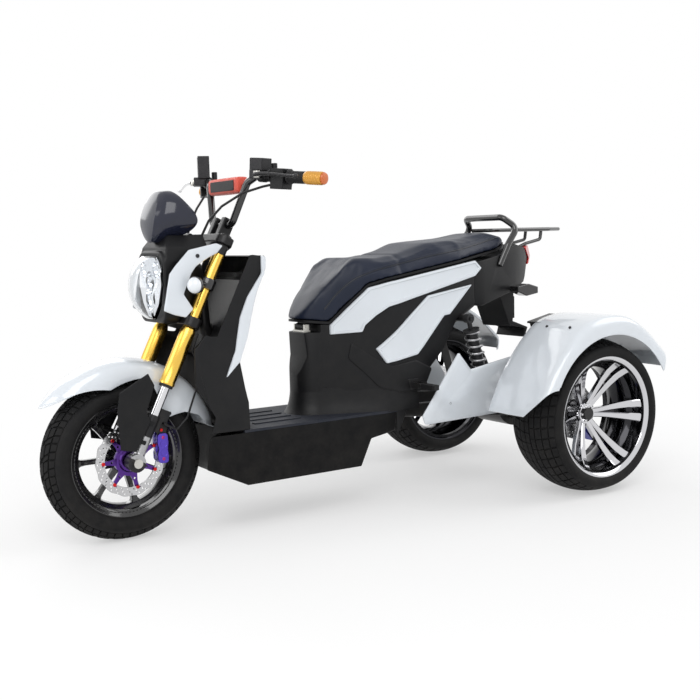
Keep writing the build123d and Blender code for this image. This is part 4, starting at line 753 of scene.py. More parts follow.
def blockPatch(setup, corners, mirror):
    a, b, c, d = corners
    shift = 0.5 if mirror else 0.0
    rows, columns = 2, 3
    verts = []

    def spot(s, t, grow, depth):
        u = (a[0] * (1 - s) + b[0] * s) * (1 - t) + (d[0] * (1 - s) + c[0] * s) * t
        v = (a[1] * (1 - s) + b[1] * s) * (1 - t) + (d[1] * (1 - s) + c[1] * s) * t
        u += grow * (s - 0.5) * 2
        v += grow * 0.35 * (t - 0.5) * 2
        return onTread(setup, u + shift, -v if mirror else v, depth)

    for grow, depth in ((-0.012, 0.0), (0.0, 0.5), (0.02, setup["groove"] + 0.6)):
        for t in range(rows + 1):
            for s in range(columns + 1):
                verts.append(spot(s / columns, t / rows, grow, depth))
    wide = columns + 1
    layer = wide * (rows + 1)
    faces = gridFaces(rows, wide)
    rim = list(range(wide)) + [wide * t + columns for t in range(1, rows + 1)]
    rim += [wide * rows + s for s in range(columns - 1, -1, -1)] + [wide * t for t in range(rows - 1, 0, -1)]
    for level in (0, layer):
        for k in range(len(rim)):
            i, j = rim[k], rim[(k + 1) % len(rim)]
            faces.append((i + level, j + level, j + layer + level, i + layer + level))
    return metres(verts), faces


def makeTyre(name, setup, axle, body, node):
    blocks = [blockPatch(setup, corners, flip) for corners in setup["blocks"] for flip in (False, True)]
    tread = aroundAxle(blocks, setup["pitches"], axle)
    carcass = lathe(carcassProfile(setup), Matrix.Translation(axle), setup["steps"])
    inside = lathe([(setup["seat"], setup["lip"] - 2), (setup["seat"] + 6, 0), (setup["seat"], 2 - setup["lip"])],
                   Matrix.Translation(axle), setup["steps"])
    return addPiece(name, [carcass, inside, tread], "tyreRubber", body, [node], sharp=34)


makeTyre("frontTyreTread", frontTyre, frontTyre["axle"], "front_wheel", "front_tyre")
for side, sign in (("left", 1), ("right", -1)):
    x, y, z = rearTyre["axle"]
    makeTyre(f"rearTyreTread_{side}", rearTyre, (x, y * sign, z), f"rear_wheel_{side}", f"rear_tyre_{side}")
print("tyres ready")


# front rim: barrel with rolled lips, seven spokes with a sunk middle, hub with flanges
frontRim = {
    "spokes": 7,
    "lip": [(164, 39), (169, 43), (169.5, 44), (167, 44.5), (163, 44), (158, 40), (153, 36), (148, 33), (146, 24), (134, 13),
            (131, 0)],
    "outside": [(164, 39), (152.4, 37), (152.4, 24), (136, 14), (135.4, 0)],
    "spoke": [(24, 12, 13), (40, 9.5, 12), (80, 7.5, 10), (112, 7.5, 9.5), (126, 9, 11), (134, 13, 14)],
     # radius, half width, half depth
    "web": [(26, 17, 4), (44, 8, 3), (60, 2, 2)], "hub": [(7.6, 42), (24, 42), (26, 40), (29, 38), (30, 30), (26, 20), (24, 0)],
}


def bothSides(profile):  # a profile and its mirror, joined in the middle
    return profile + [(r, -y) for r, y in reversed(profile[:-1])]


def inMetres(shape):
    return metres(shape[0]), shape[1]


def rectLoop(r, half, deep, chamfer, mid=0.0, shift=0.0, tilt=0.0):  # one section of a spoke, flat front with chamfers
    points = [(deep, half - chamfer), (deep, -half + chamfer), (deep - chamfer, -half), (-deep + chamfer, -half),
              (-deep, -half + chamfer), (-deep, half - chamfer), (-deep + chamfer, half), (deep - chamfer, half)]
    return [(r, mid + y + tilt * z, shift + z) for y, z in points]


def makeFrontRim(setup):
    axle = frontTyre["axle"]
    place = Matrix.Translation(axle)
    shapes = [lathe(bothSides(setup[name]), place, 84) for name in ("outside", "lip")]
    spoke = skin([rectLoop(r, half, deep, 3.0) for r, half, deep in setup["spoke"]])
    shapes.append(aroundAxle([inMetres(spoke)], setup["spokes"], axle))
    hub = bothSides(setup["hub"])
    shapes.append(lathe(hub + [hub[0]], place, 40))
    web = skin([rectLoop(r, half, deep, 1.2) for r, half, deep in setup["web"]])
    shapes.append(aroundAxle([inMetres(web)], setup["spokes"], axle, start=math.pi / setup["spokes"]))
    return addPiece("frontRimSpokes", shapes, "glossBlack", "front_wheel", ["front_rim"], sharp=30)


makeFrontRim(frontRim)


# brake discs: wavy drilled rings on carriers, held by buttons
frontDisc = {
    "waves": 14, "outer": 101.5, "wave": 1.6, "inner": 76.0, "low": 58.0, "high": 62.0,
    "rows": [(96, 2.6), (89, 2.8), (82, 2.6)],
    "arms": 7,
    "arm": [(30, 12), (44, 10), (62, 6), (76, 6), (83, 9), (86, 0), (83, -9), (76, -6), (62, -6), (44, -10), (30, -12)],
    "boss": [(7.6, 42), (30, 42), (44, 44), (45, 50), (44, 57), (34, 58.5), (30, 64), (20, 65.5), (7.6, 65.5), (7.6, 42)],
    "button": [(5.5, 57), (5.5, 63.2), (4.6, 64.2), (2.6, 64.2), (2.4, 63.0)],
}


def wavyRing(setup, axle, finish=0):
    outline = []
    for angle in fullTurn(setup["waves"] * 8):
        r = setup["outer"] + setup["wave"] * math.cos(setup["waves"] * angle)
        outline.append((r * math.cos(angle), r * math.sin(angle)))
    holes = [circle(0, 0, setup["inner"], 84)]
    for row, (r, size) in enumerate(setup["rows"]):
        for k in range(setup["waves"] * 2):
            angle = 2 * math.pi * (k + row / 3) / (setup["waves"] * 2)
            holes.append(circle(r * math.cos(angle), r * math.sin(angle), size, 8))
    verts, faces = plateWithHoles(outline, holes, setup["low"], setup["high"])
    return moved((verts, faces, finish), Matrix.Translation(axle))


def makeFrontDisc(setup):
    axle = frontTyre["axle"]
    ring = wavyRing(setup, axle)
    arms = aroundAxle([plateWithHoles(setup["arm"], [circle(54, 0, 3.4, 8)], 53, 57.6)], setup["arms"], axle, 1)
    boss = lathe(setup["boss"], Matrix.Translation(axle), 48, finish=1)
    button = skin([ringLoop(80, r, y, 10) for r, y in setup["button"]])
    buttons = aroundAxle([inMetres(button)], setup["arms"], axle, 2)
    return addPiece("frontDiscRing", [ring, arms, boss, buttons], ["groundSteel", "violetAnodised", "redAnodised"],
                    "front_wheel",
                    ["front_disc"], sharp=30)


makeFrontDisc(frontDisc)
rearDisc = {
    "waves": 12, "outer": 90.5, "wave": 1.3, "inner": 40.0, "low": -55.0, "high": -50.0, "rows": [(80, 3.2), (70, 3.2)],
    "hat": [(12.6, -55), (42, -55), (43, -53), (42, -50), (30, -49), (12.6, -49), (12.6, -55)],
}
for side, sign in (("left", 1), ("right", -1)):
    shapes = [wavyRing(rearDisc, rearTyre["axle"]), lathe(rearDisc["hat"], Matrix.Translation(rearTyre["axle"]), 40, finish=1)]
    if sign < 0:
        shapes = [mirrored(shape) for shape in shapes]
    addPiece(f"rearDiscRing_{side}", shapes, ["groundSteel", "castBlack"], f"rear_wheel_{side}", [f"rear_disc_{side}"],
             sharp=30)


# rear rims: deep polished dish, six double spokes, lug nuts and a cap
rearRim = {
    "spokes": 6, "nuts": 5,
    "dish": [(193, 90), (199, 93.5), (200, 95.5), (197.5, 97), (193, 96), (188, 93.5), (184, 89), (181, 86), (178, 78),
             (175, 62),
             (172, 48), (160, 36), (155, 20), (154, -20), (160, -40), (172, -60), (184, -86), (190, -93), (197, -95),
             (199, -93),
             (193, -90)],
    "lip": [(182.4, 88), (188, 94.2), (193, 96.8), (197.6, 97.8), (200.6, 95.6), (199, 92.6), (193, 91), (186, 86)],
    "outside": [(193, 90), (177.8, 88), (177.8, 54), (160, 32), (160, -32), (177.8, -54), (177.8, -88), (193, -90)],
    "blade": [(24, -8, 8.5, 10, 6.0), (50, 2, 8.0, 10, 8.0), (84, 14, 9.0, 9.5, 12.0), (118, 28, 10.5, 9, 16.5),
              (148, 44, 12.0, 9, 20.5), (168, 60, 13.0, 11, 23.0), (177, 70, 13.5, 13, 24.0)],
               # radius, mid y, half sizes, aside
    "web": [(30, 0, 10), (60, 8, 9), (96, 18, 12), (112, 26, 14)],
    "hub": [(12.6, -50), (38, -50), (38, 0), (34, 6), (33, 8), (27, 8), (26, 3), (24, 2), (12.6, 2), (12.6, -50)],
    "nut": [(5.4, 1.0), (5.4, 11.0), (4.2, 13.0), (2.0, 14.0)], "washer": [(14, 2), (17, 2), (17, 4.5), (14, 4.5), (14, 2)],
}


def makeRearRim(side, sign):
    axle = rearTyre["axle"]
    place = Matrix.Translation(axle)
    # finish 1, the near-black chrome copy, is painted shade on the barrel and on the webs between the spoke pairs
    shapes = [lathe(rearRim["dish"], place, 96, finish=1), lathe(rearRim["outside"], place, 96, finish=1),
              lathe(rearRim["lip"], place, 96, closed=True)]
    blades = []
    for way in (1, -1):
        rows = [rectLoop(r, half, deep, 2.6, mid, way * aside, way * 0.10) for r, mid, half, deep, aside in rearRim["blade"]]
        blades.append(inMetres(skin(rows if way > 0 else [list(reversed(row)) for row in rows])))
    shapes.append(aroundAxle(blades, rearRim["spokes"], axle))
    web = skin([rectLoop(r, half, 4.5, 1.0, mid - 8) for r, mid, half in rearRim["web"]])
    shapes.append(aroundAxle([inMetres(web)], rearRim["spokes"], axle, 1))
    shapes.append(lathe(rearRim["hub"], place, 48))
    nut = skin([ringLoop(23, r, h, 6) for r, h in rearRim["nut"]])
    shapes.append(aroundAxle([inMetres(nut)], rearRim["nuts"], axle, 2))
    shapes.append(lathe(rearRim["washer"], place, 30, finish=2))
    if sign < 0:
        shapes = [mirrored(shape) for shape in shapes]
    return addPiece(f"rearRimDish_{side}", shapes, ["chromeBright", "chromePaintedShade", "polishedAlloy"], f"rear_wheel_{side}",
                    [f"rear_rim_{side}"], sharp=30)


for side, sign in (("left", 1), ("right", -1)):
    makeRearRim(side, sign)
print("wheels ready")


# seat: the shell is blown up as a stuffed cover, then gets its welts, sunk seam and stitches
seatSetup = {
    "voxel": 0.0065, "slack": 0.0035, "frames": 18, "mostMove": 0.011, "settle": 16, "heldRim": 0.014,
    "cloth": {"quality": 5, "mass": 0.3, "tension_stiffness": 18, "compression_stiffness": 18, "shear_stiffness": 6,
              "bending_stiffness": 1.0, "uniform_pressure_force": 5.0},
    "sunkAt": -0.155, "sunkDepth": 0.0035, "sunkWidth": 0.010,
    "base": [(-0.6494, 0.812), (-0.5774, 0.786), (-0.4474, 0.766), (-0.0994, 0.710), (-0.0354, 0.694), (0.0336, 0.628),
             (0.0806, 0.580), (0.1726, 0.590)],
    "welt": [(-0.600, 0.836), (-0.500, 0.816), (-0.400, 0.800), (-0.280, 0.783), (-0.160, 0.762), (-0.060, 0.742),
             (0.010, 0.716),
             (0.060, 0.672), (0.096, 0.628)],
    "weltRadius": 0.0019, "stitchPitch": 0.0065, "thread": 0.00055, "stitchDrops": (-0.006, 0.006),
    "seamShifts": (-0.009, 0.009),
}


def baseHeight(setup, x):
    line = setup["base"]
    for (xa, za), (xb, zb) in zip(line, line[1:]):
        if xa <= x <= xb:
            return za + (zb - za) * (x - xa) / (xb - xa)
    return line[0][1] if x < line[0][0] else line[-1][1]


def throughModifiers(mesh, build):  # runs modifiers on a mesh and returns the plain result
    carrier = setDown("carrier", mesh)
    build(carrier)
    bpy.context.view_layer.update()
    out = bpy.data.meshes.new_from_object(carrier.evaluated_get(bpy.context.evaluated_depsgraph_get()))
    bpy.data.objects.remove(carrier)
    return out


def remeshed(carrier, voxel):
    modifier = carrier.modifiers.new("even", "REMESH")
    modifier.mode = "VOXEL"
    modifier.voxel_size = voxel


def smoothed(carrier, passes):
    carrier.modifiers.new("soft", "SMOOTH").iterations = passes


def blownUp(mesh, setup):  # a cloth cover under pressure, held along its lower rim
    carrier = setDown("cover", mesh)
    held = carrier.vertex_groups.new(name="held")
    rim = [v.index for v in mesh.vertices if v.co.z < baseHeight(setup, v.co.x) + setup["heldRim"]]
    held.add(rim, 1.0, "REPLACE")
    modifier = carrier.modifiers.new("stuffing", "CLOTH")
    cloth = modifier.settings
    for key, value in setup["cloth"].items():
        setattr(cloth, key, value)
    cloth.vertex_group_mass = "held"
    cloth.use_pressure = True
    cloth.effector_weights.gravity = 0
    modifier.point_cache.frame_start = 1
    modifier.point_cache.frame_end = setup["frames"]
    scene = bpy.context.scene
    for frameNumber in range(1, setup["frames"] + 1):
        scene.frame_set(frameNumber)
    result = carrier.evaluated_get(bpy.context.evaluated_depsgraph_get()).to_mesh()
    limit = setup["mostMove"]
    places = []
    for before, after in zip(mesh.vertices, result.vertices):
        move = after.co - before.co
        if move.length > limit:
            move = move.normalized() * limit
        places.append(before.co + move)
    scene.frame_set(1)
    bpy.data.objects.remove(carrier)
    for vert, place in zip(mesh.vertices, places):
        vert.co = place
    return mesh


def aboveRim(work, setup):
    return [v for v in work.verts if v.co.z > baseHeight(setup, v.co.x) + setup["heldRim"]]


def makeSeat(setup):
    mesh = throughModifiers(cadCopy("seat_cushion"), lambda carrier: remeshed(carrier, setup["voxel"]))
    with editing(mesh) as work:
        work.normal_update()
        for vert in aboveRim(work, setup):  # start a little slack
            vert.co -= vert.normal * setup["slack"]
        for _ in range(3):
            bmesh.ops.smooth_vert(work, verts=aboveRim(work, setup), factor=0.5, use_axis_x=True, use_axis_y=True,
                                  use_axis_z=True)
    mesh = blownUp(mesh, setup)
    mesh = throughModifiers(mesh, lambda carrier: smoothed(carrier, setup["settle"]))
    with editing(mesh) as work:
        work.normal_update()
        for vert in work.verts:  # sink the seam between rider and pillion
            if vert.normal.z > -0.3:
                away = (vert.co.x - setup["sunkAt"]) / setup["sunkWidth"]
                vert.co -= vert.normal * setup["sunkDepth"] * math.exp(-away * away)

    def oneSubdivision(carrier):
        modifier = carrier.modifiers.new("fine", "SUBSURF")
        modifier.levels = modifier.render_levels = 1

    mesh = throughModifiers(mesh, oneSubdivision)
    mesh.polygons.foreach_set("use_smooth", [True] * len(mesh.polygons))
    return mesh


seatMesh = makeSeat(seatSetup)
seat = addPiece("seatCushionCover", seatMesh, "seatVinyl", "seat", ["seat_cushion"])
print("seat blown up", len(seatMesh.vertices))
seatTree = bvhtree.BVHTree.FromObject(seat, bpy.context.evaluated_depsgraph_get())


def onSeatSide(x, z, side, lift):
    hit, normal, *_ = seatTree.ray_cast(Vector((x, 0.3 * side, z)), Vector((0, -side, 0)))
    return hit + normal * lift if hit else None


def onSeatTop(x, y, lift):
    hit, normal, *_ = seatTree.ray_cast(Vector((x, y, 1.1)), Vector((0, 0, -1)))
    return hit + normal * lift if hit else None


def stitchLine(points):
    found = [tuple(p) for p in points if p]
    mesh = bpy.data.meshes.new("line")
    mesh.from_pydata(found, [(i, i + 1) for i in range(len(found) - 1)], [])
    values = {"Pitch": seatSetup["stitchPitch"], "Thread": seatSetup["thread"], "Finish": materials["threadGrey"]}
    return meshShape(grown(mesh, "stitches", values), 1)


def makeSeams(setup):
    shapes = []
    line = smoothPath([(x, 0, z) for x, z in setup["welt"]], 7)
    for side in (1, -1):
        points = [onSeatSide(p.x, p.z, side, 0.0004) for p in line]
        shapes.append((*tube([p for p in points if p], setup["weltRadius"], 8), 0))
        for drop in setup["stitchDrops"]:
            shapes.append(stitchLine([onSeatSide(p.x, p.z + drop, side, 0.0002) for p in line]))
    for shift in setup["seamShifts"]:
        shapes.append(stitchLine([onSeatTop(setup["sunkAt"] + shift, y / 1000, 0.0002) for y in range(-118, 119, 6)]))
    return addPiece("seatSeams", shapes, ["seatPiping", "threadGrey"], "seat")


makeSeams(seatSetup)
print("seat ready")


# body panels
def insetCorners(corners, amount):
    points = [Vector(p) for p in corners]
    count = len(points)
    area = sum(points[i].x * points[(i + 1) % count].y - points[(i + 1) % count].x * points[i].y for i in range(count))
    turn = 1 if area > 0 else -1
    out = []
    for i in range(count):
        ahead = (points[(i + 1) % count] - points[i]).normalized()
        behind = (points[i] - points[i - 1]).normalized()
        one, two = Vector((-behind.y, behind.x)) * turn, Vector((-ahead.y, ahead.x)) * turn
        mitre = (one + two) / max(0.35, 1 + one.dot(two))
        out.append(points[i] + mitre * amount)
    return out


def panelShape(outline, levels, surface, side=1, cut=None, back=-0.6, corner=3.0, finish=0):
    # outline in (x, z), levels of (inset, height), surface gives the y of the body under a point; all in millimetres
    loops = [[(p.x, back, p.y) for p in roundedLoop(insetCorners(outline, levels[0][0]), corner)]]
    for inset, height in levels:
        loops.append([(p.x, height, p.y) for p in roundedLoop(insetCorners(outline, inset), corner)])
    verts, faces = skin(loops)
    work = bmesh.new()
    made = [work.verts.new(vert) for vert in verts]
    for face in faces:
        work.faces.new([made[i] for i in face])
    if cut:
        axis, step = cut
        places = [getattr(v.co, axis) for v in work.verts]
        way = Vector((1, 0, 0)) if axis == "x" else Vector((0, 0, 1))
        at = min(places) + step
        while at < max(places) - 1:
            bmesh.ops.bisect_plane(work, geom=work.verts[:] + work.edges[:] + work.faces[:], plane_co=way * at, plane_no=way)
            at += step
    bmesh.ops.triangulate(work, faces=[f for f in work.faces if len(f.verts) > 4], ngon_method="EAR_CLIP")
    work.verts.index_update()
    out = [(v.co.x, side * (surface(v.co.x, v.co.z) + v.co.y), v.co.z) for v in work.verts]
    outFaces = [tuple(v.index for v in (f.verts if side > 0 else reversed(f.verts))) for f in work.faces]
    work.free()
    return metres(out), outFaces, finish


def panelPair(outline, level, surface, **more):
    return [panelShape(outline, panelLevels[level], surface, side, **more) for side in (1, -1)]


def alongLine(line):  # reads y from a line of (place, y) rows, smoothly
    path = smoothPath([(a, b, 0) for a, b in line], 10)

    def read(place):
        for one, two in zip(path, path[1:]):
            low, high = (one, two) if one.x <= two.x else (two, one)
            if low.x <= place <= high.x and high.x > low.x:
                return low.y + (high.y - low.y) * (place - low.x) / (high.x - low.x)
        return min(path, key=lambda p: abs(p.x - place)).y

    return read


bodyWidth = alongLine([(-617, 156), (-400, 156), (-200, 156), (-112.4, 156), (-37.4, 130), (42.6, 98), (102.6, 70)])
bladeWidth = alongLine([(290, 165), (380, 161), (480, 151), (560, 146), (700, 146), (830, 146)])
panelLevels = {
    "strip": [(0, 0), (0.3, 4.2), (1.6, 6.0), (7.2, 6.8), (9.6, 3.4), (11.0, 3.2)],
    "cover": [(0, 0), (0.3, 3.4), (1.8, 4.6), (13.0, 7.4)],
    "wing": [(0, 0), (0.3, 3.4), (1.8, 5.2), (5.5, 6.6)],
    "blade": [(0, 0), (0.3, 3.8), (1.8, 5.6), (8.0, 6.6)],
}
upperStrip = [(80.6, 576.5), (33.6, 624.5), (-35.4, 690.5), (-99.4, 706.5), (-447.4, 762.5), (-474.4, 737), (-446.4, 711),
              (-248.4, 664), (-95.4, 628), (-55.4, 602), (-22.4, 573), (-13.4, 552), (80.6, 548)]
lowerStrip = [(-431.4, 684), (-248.4, 656), (-54.4, 497), (-85.4, 449), (-202.4, 469), (-226.4, 493), (-313.4, 588),
              (-336.4, 590)]
armCover = [(-168.4, 279), (-318.4, 471), (-367.4, 412), (-546.4, 440), (-617.4, 330), (-587.4, 258), (-179.4, 250)]
blade = [(352.6, 803), (352.6, 751), (401.6, 684), (427.6, 625), (445.6, 533), (480.6, 457), (433.6, 498), (404.6, 568),
         (381.6, 660),
         (369.6, 697), (338.6, 765), (336.6, 797)]


coverPosts = {"places": [(-312.4, 288), (-529.4, 276)], "profile": [(9, 148), (9, 222.5), (0.5, 222.5), (0.5, 148), (9, 148)]}


def makePanels():
    for name, outline, node in (("upperStripPanels", upperStrip, "upper_strips"),
                                ("lowerStripPanels", lowerStrip, "lower_strips")):
        shapes = panelPair(outline, "strip", lambda x, z: bodyWidth(x), cut=("x", 22))
        addPiece(name, shapes, "pearlWhite", "chassis", [node], sharp=30)
    shapes = panelPair(armCover, "cover", lambda x, z: 222, corner=7)
    for x, z in coverPosts["places"]:
        shapes += pairOf([lathe(coverPosts["profile"], placed(x, 0, z), 20, finish=1)])
    addPiece("armCoverPanels", shapes, ["pearlWhite", "castBlack"], "chassis", ["swingarm_covers"], sharp=24)
    shapes = panelPair(blade, "blade", lambda x, z: bladeWidth(z), cut=("z", 24), corner=4)
    addPiece("legShieldBlades", shapes, "pearlWhite", "chassis", ["leg_shield_trim"], sharp=30)


makePanels()
print("panels ready")


# fenders: thin moulded sheets
frontFender = {
    "axle": (743.6, 236.4), "radius": 288.0, "half": 71.0, "thick": 0.0026, "rows": 72,
    "edge": [(35.8, 1.0), (43.5, 0.939), (75.8, 0.737), (104.5, 0.832), (121.5, 0.611), (124.6, 0.52), (135.5, 0.545),
             (144, 0.721),
             (153.7, 0.829), (162.9, 0.872), (168, 1.0)],  # (degrees about the axle, share of the radius)
    "width": [(35.8, 0.10), (37.2, 0.34), (40, 0.58), (46, 0.80), (56, 0.94), (72, 1.0), (150, 1.0), (160, 0.92), (168, 0.60)],
    "shape": [(0.0, 0.0), (0.10, 0.3), (0.24, 1.0), (0.42, 3.4), (0.58, 7.0), (0.72, 11.0), (0.80, 14.0), (0.86, 19.0),
              (0.94, 30.0),
              (1.0, 50.0)],  # (share of the half width, drop)
}


def readRow(rows, at):
    for (a, b), (c, d) in zip(rows, rows[1:]):
        if a <= at <= c:
            return b + (d - b) * (at - a) / (c - a)
    return rows[0][1] if at < rows[0][0] else rows[-1][1]


def makeFrontFender(setup):
    verts = []
    low, high = setup["edge"][0][0], setup["edge"][-1][0]
    rows, r = setup["rows"], setup["radius"]
    for i in range(rows + 1):
        degrees = low + (high - low) * i / rows
        angle = math.radians(degrees)
        edge = readRow(setup["edge"], degrees) * r
        half = readRow(setup["width"], degrees) * setup["half"]
        row = [(max(r - drop, edge), half * share) for share, drop in setup["shape"]]
        last = row[-1][0]
        reach = min(0, edge - last) if edge < r - 50 else 0  # how far the side goes on down
        row += [(last + reach * k / 3, half) for k in (1, 2, 3)]
        full = [(a, -b) for a, b in reversed(row[1:])] + row
        for a, b in full:
            verts.append((setup["axle"][0] + a * math.cos(angle), b, setup["axle"][1] + a * math.sin(angle)))
    mesh = tidyMesh("fenderSheet", metres(verts), gridFaces(rows, len(verts) // (rows + 1)), 60)
    return thickened(mesh, setup["thick"], Vector((setup["axle"][0], 0, setup["axle"][1])) / 1000)


def roundedEdges(carrier, width, segments, degrees):
    edge = carrier.modifiers.new("edge", "BEVEL")
    edge.width = width
    edge.segments = segments
    edge.limit_method = "ANGLE"
    edge.angle_limit = math.radians(degrees)
    return edge


def thickened(mesh, thick, inside, sharp=34, rim=0.0009):
    with editing(mesh) as work:
        bmesh.ops.dissolve_degenerate(work, dist=0.00005, edges=work.edges)
        work.normal_update()
        facing = sum((f.normal.dot(f.calc_center_median() - inside)) * f.calc_area() for f in work.faces)
        if facing < 0:
            bmesh.ops.reverse_faces(work, faces=work.faces)

    def build(carrier):
        wall = carrier.modifiers.new("wall", "SOLIDIFY")
        wall.thickness = thick
        wall.offset = -1
        roundedEdges(carrier, rim, 2, 60)

    return shaded(throughModifiers(mesh, build), sharp)


fenderEars = pairOf([tube([(0.6456, 0.0690, 0.3674), (0.6456, 0.0830, 0.3674)], 0.0075, 16)])
addPiece("frontFenderShell", [meshShape(makeFrontFender(frontFender))] + fenderEars, "pearlWhite", "steering", ["front_fender"],
         sharp=34)

rearFender = {
    "axle": (-698.4, 253.0), "arch": 268.0, "inside": 296.0, "outside": 540.0, "roll": 28.0, "thick": 0.0036, "corner": 46.0,
    "crown": [(1.209, 0.119), (1.015, 0.519), (0.780, 0.830), (0.440, 1.153), (0.060, 1.232), (-0.299, 1.213), (-0.640, 1.010),
              (-0.978, 0.698), (-0.951, 0.541)],
    "flapCut": ((-368.4, 440, 262), (0, 0.72, -0.69), -455.0),
}


def roundedPath(points, radius, steps=6):
    path = [Vector(p) for p in points]
    out = [path[0]]
    for before, here, after in zip(path, path[1:], path[2:]):
        reach = min(radius, (before - here).length * 0.45, (after - here).length * 0.45)
        start, stop = here + (before - here).normalized() * reach, here + (after - here).normalized() * reach
        out += [start * (1 - t) ** 2 + here * 2 * t * (1 - t) + stop * t * t for t in (k / steps for k in range(steps + 1))]
    return out + [path[-1]]


def spacedOut(path, step):  # fills long runs with points
    out = [path[0]]
    for a, b in zip(path, path[1:]):
        count = max(1, round((b - a).length / step))
        out += [a + (b - a) * k / count for k in range(1, count + 1)]
    return out


def makeRearFender(setup):
    ax, az = setup["axle"]
    arch, roll = setup["arch"], setup["roll"]
    crown = [Vector((ax + x * arch, az + z * arch)) for x, z in setup["crown"]]
    line = spacedOut(roundedPath(crown, setup["corner"]), 26)
    verts = []
    axle = Vector((ax, az))
    for point in line:
        out = (point - axle).normalized()
        foot = axle + out * arch
        rows = [(setup["inside"], point - out * 12), (setup["inside"] + 1.5, point - out * 3), (setup["inside"] + 6, point)]
        rows += [(y, point + out * 2.2 * math.sin(math.pi * (y - 300) / 215)) for y in (330, 372, 414, 456, 490)]
        for k in range(7):
            angle = math.pi / 2 * k / 6
            rows.append((setup["outside"] - roll + roll * math.sin(angle), point - out * roll * (1 - math.cos(angle))))
        last = rows[-1][1]
        if (last - axle).length > arch:
            rows += [(setup["outside"], last + (foot - last) * k / 3) for k in (1, 2, 3)]
        else:
            rows += [(setup["outside"], last)] * 3
        rows.append((setup["outside"] - 3.0, foot - out * 0.5))
        verts += [(p.x, y, p.y) for y, p in rows]
    mesh = tidyMesh("fenderSheet", metres(verts), gridFaces(len(line) - 1, len(verts) // len(line)), 60)
    spot, way, limit = setup["flapCut"]
    with editing(mesh) as work:
        near = [f for f in work.faces if f.calc_center_median().x * 1000 > limit]
        geom = list({v for f in near for v in f.verts}) + list({e for f in near for e in f.edges}) + near
        bmesh.ops.bisect_plane(work, geom=geom, plane_co=Vector(spot) / 1000, plane_no=Vector(way), clear_outer=True)
    return thickened(mesh, setup["thick"], Vector((ax, 420, az)) / 1000)


hood = meshShape(makeRearFender(rearFender))
addPiece("rearFenderHoods", pairOf([hood]), "pearlWhite", "chassis", ["rear_fenders"], sharp=34)
print("fenders ready")


# the pedestal spreads where it meets the floor
skirtSetup = {
    "rows": [(296, 24), (303, 19), (310, 14.5), (320, 9.5), (335, 4.8), (355, 1.4), (380, -0.9)],  # (height, spread)
    "side": [(-200, 156), (-160, 156), (-112.4, 156), (-75, 143), (-37.4, 130), (2, 114), (42.6, 98), (72, 86)],
    "nose": (102.6, 70), "widest": 164.6,
}


def makeSkirt(setup):
    x, r = setup["nose"]
    half = [Vector(p) for p in setup["side"]]
    half += [Vector((x + r * math.cos(a), r * math.sin(a))) for a in (math.radians(d) for d in range(84, -1, -7))]
    line = half + [Vector((p.x, -p.y)) for p in reversed(half[:-1])]
    loops = []
    for z, spread in setup["rows"] + [(380, -9), (296, -9)]:
        loop = []
        for i, point in enumerate(line):
            way = (line[min(i + 1, len(line) - 1)] - line[max(i - 1, 0)]).normalized()
            place = point + Vector((-way.y, way.x)) * spread
            loop.append((place.x, max(-setup["widest"], min(setup["widest"], place.y)), z))
        loops.append(loop)
    verts, faces = skin(loops, closed=False, caps=False, ring=True)
    wide = len(line)
    faces += [tuple(k * wide for k in range(len(loops))), tuple(k * wide + wide - 1 for k in reversed(range(len(loops))))]
    return addPiece("pedestalSkirt", [(metres(verts), faces)], "grainedBlack", "chassis", sharp=50)


makeSkirt(skirtSetup)

# dark flank panels under the strips
flank = [(-262, 420), (-196, 452), (-100, 440), (-48, 470), (20, 520), (30, 470), (-20, 420), (-64, 372), (-150, 350),
         (-226, 352)]
panelLevels["flank"] = [(0, 0), (0.4, 2.2), (2.4, 3.2), (7.0, 3.6)]
shapes = panelPair(flank, "flank", lambda x, z: bodyWidth(x), cut=("x", 18), corner=10)
addPiece("flankPanels", shapes, "grainedBlack", "chassis", sharp=36)
print("relief ready")


# housings and castings, their corners rounded off as a mould rounds them
mouldedParts = {  # node: (voxel, passes, finish, body)
    "headlamp_housing": (0.0028, 4, "grainedBlack", "steering"),
    "plate_hanger": (0.0020, 4, "grainedBlack", "chassis"), "rear_indicators": (0.0018, 5, "glossBlack", "chassis"),
    "brake_masters": (0.0014, 4, "castBlack", "steering"), "switchgear": (0.0014, 5, "grainedBlack", "steering"),
    "triple_clamps": (0.0020, 4, "satinBlack", "steering"), "swingarm": (0.0028, 4, "satinBlack", "chassis"),
    "tail_lamp": (0.0016, 3, "redLens", "chassis"), "fork_guards": (0.0016, 3, "grainedBlack", "steering"),
}
edgedParts = {"side_body": 0.0030, "front_apron": 0.0022, "inner_shield": 0.0030, "underbody_tub": 0.0035, "tail_cowl": 0.0028}


def camelName(name):
    first, *rest = name.split("_")
    return first + "".join(word.capitalize() for word in rest)


def moulded(name, voxel, passes):
    def build(carrier):
        remeshed(carrier, voxel)
        smoothed(carrier, passes)
        carrier.modifiers.new("fewer", "DECIMATE").ratio = 0.45

    return [meshShape(throughModifiers(cadCopy(name), build))]


def edged(name, width):  # a copy with its long edges rounded
    def build(carrier):
        roundedEdges(carrier, width, 3, 30).use_clamp_overlap = False

    return [meshShape(throughModifiers(cadCopy(name, 0.6), build))]


for name, (voxel, passes, finish, body) in mouldedParts.items():
    addPiece(camelName(name) + "Moulded", moulded(name, voxel, passes), finish, body, [name], sharp=48)
for name, width in edgedParts.items():
    finish = "tubBlack" if name == "underbody_tub" else "grainedBlack"
    addPiece(camelName(name) + "Edged", edged(name, width), finish, "chassis", [name], sharp=34)
print("moulded parts ready")


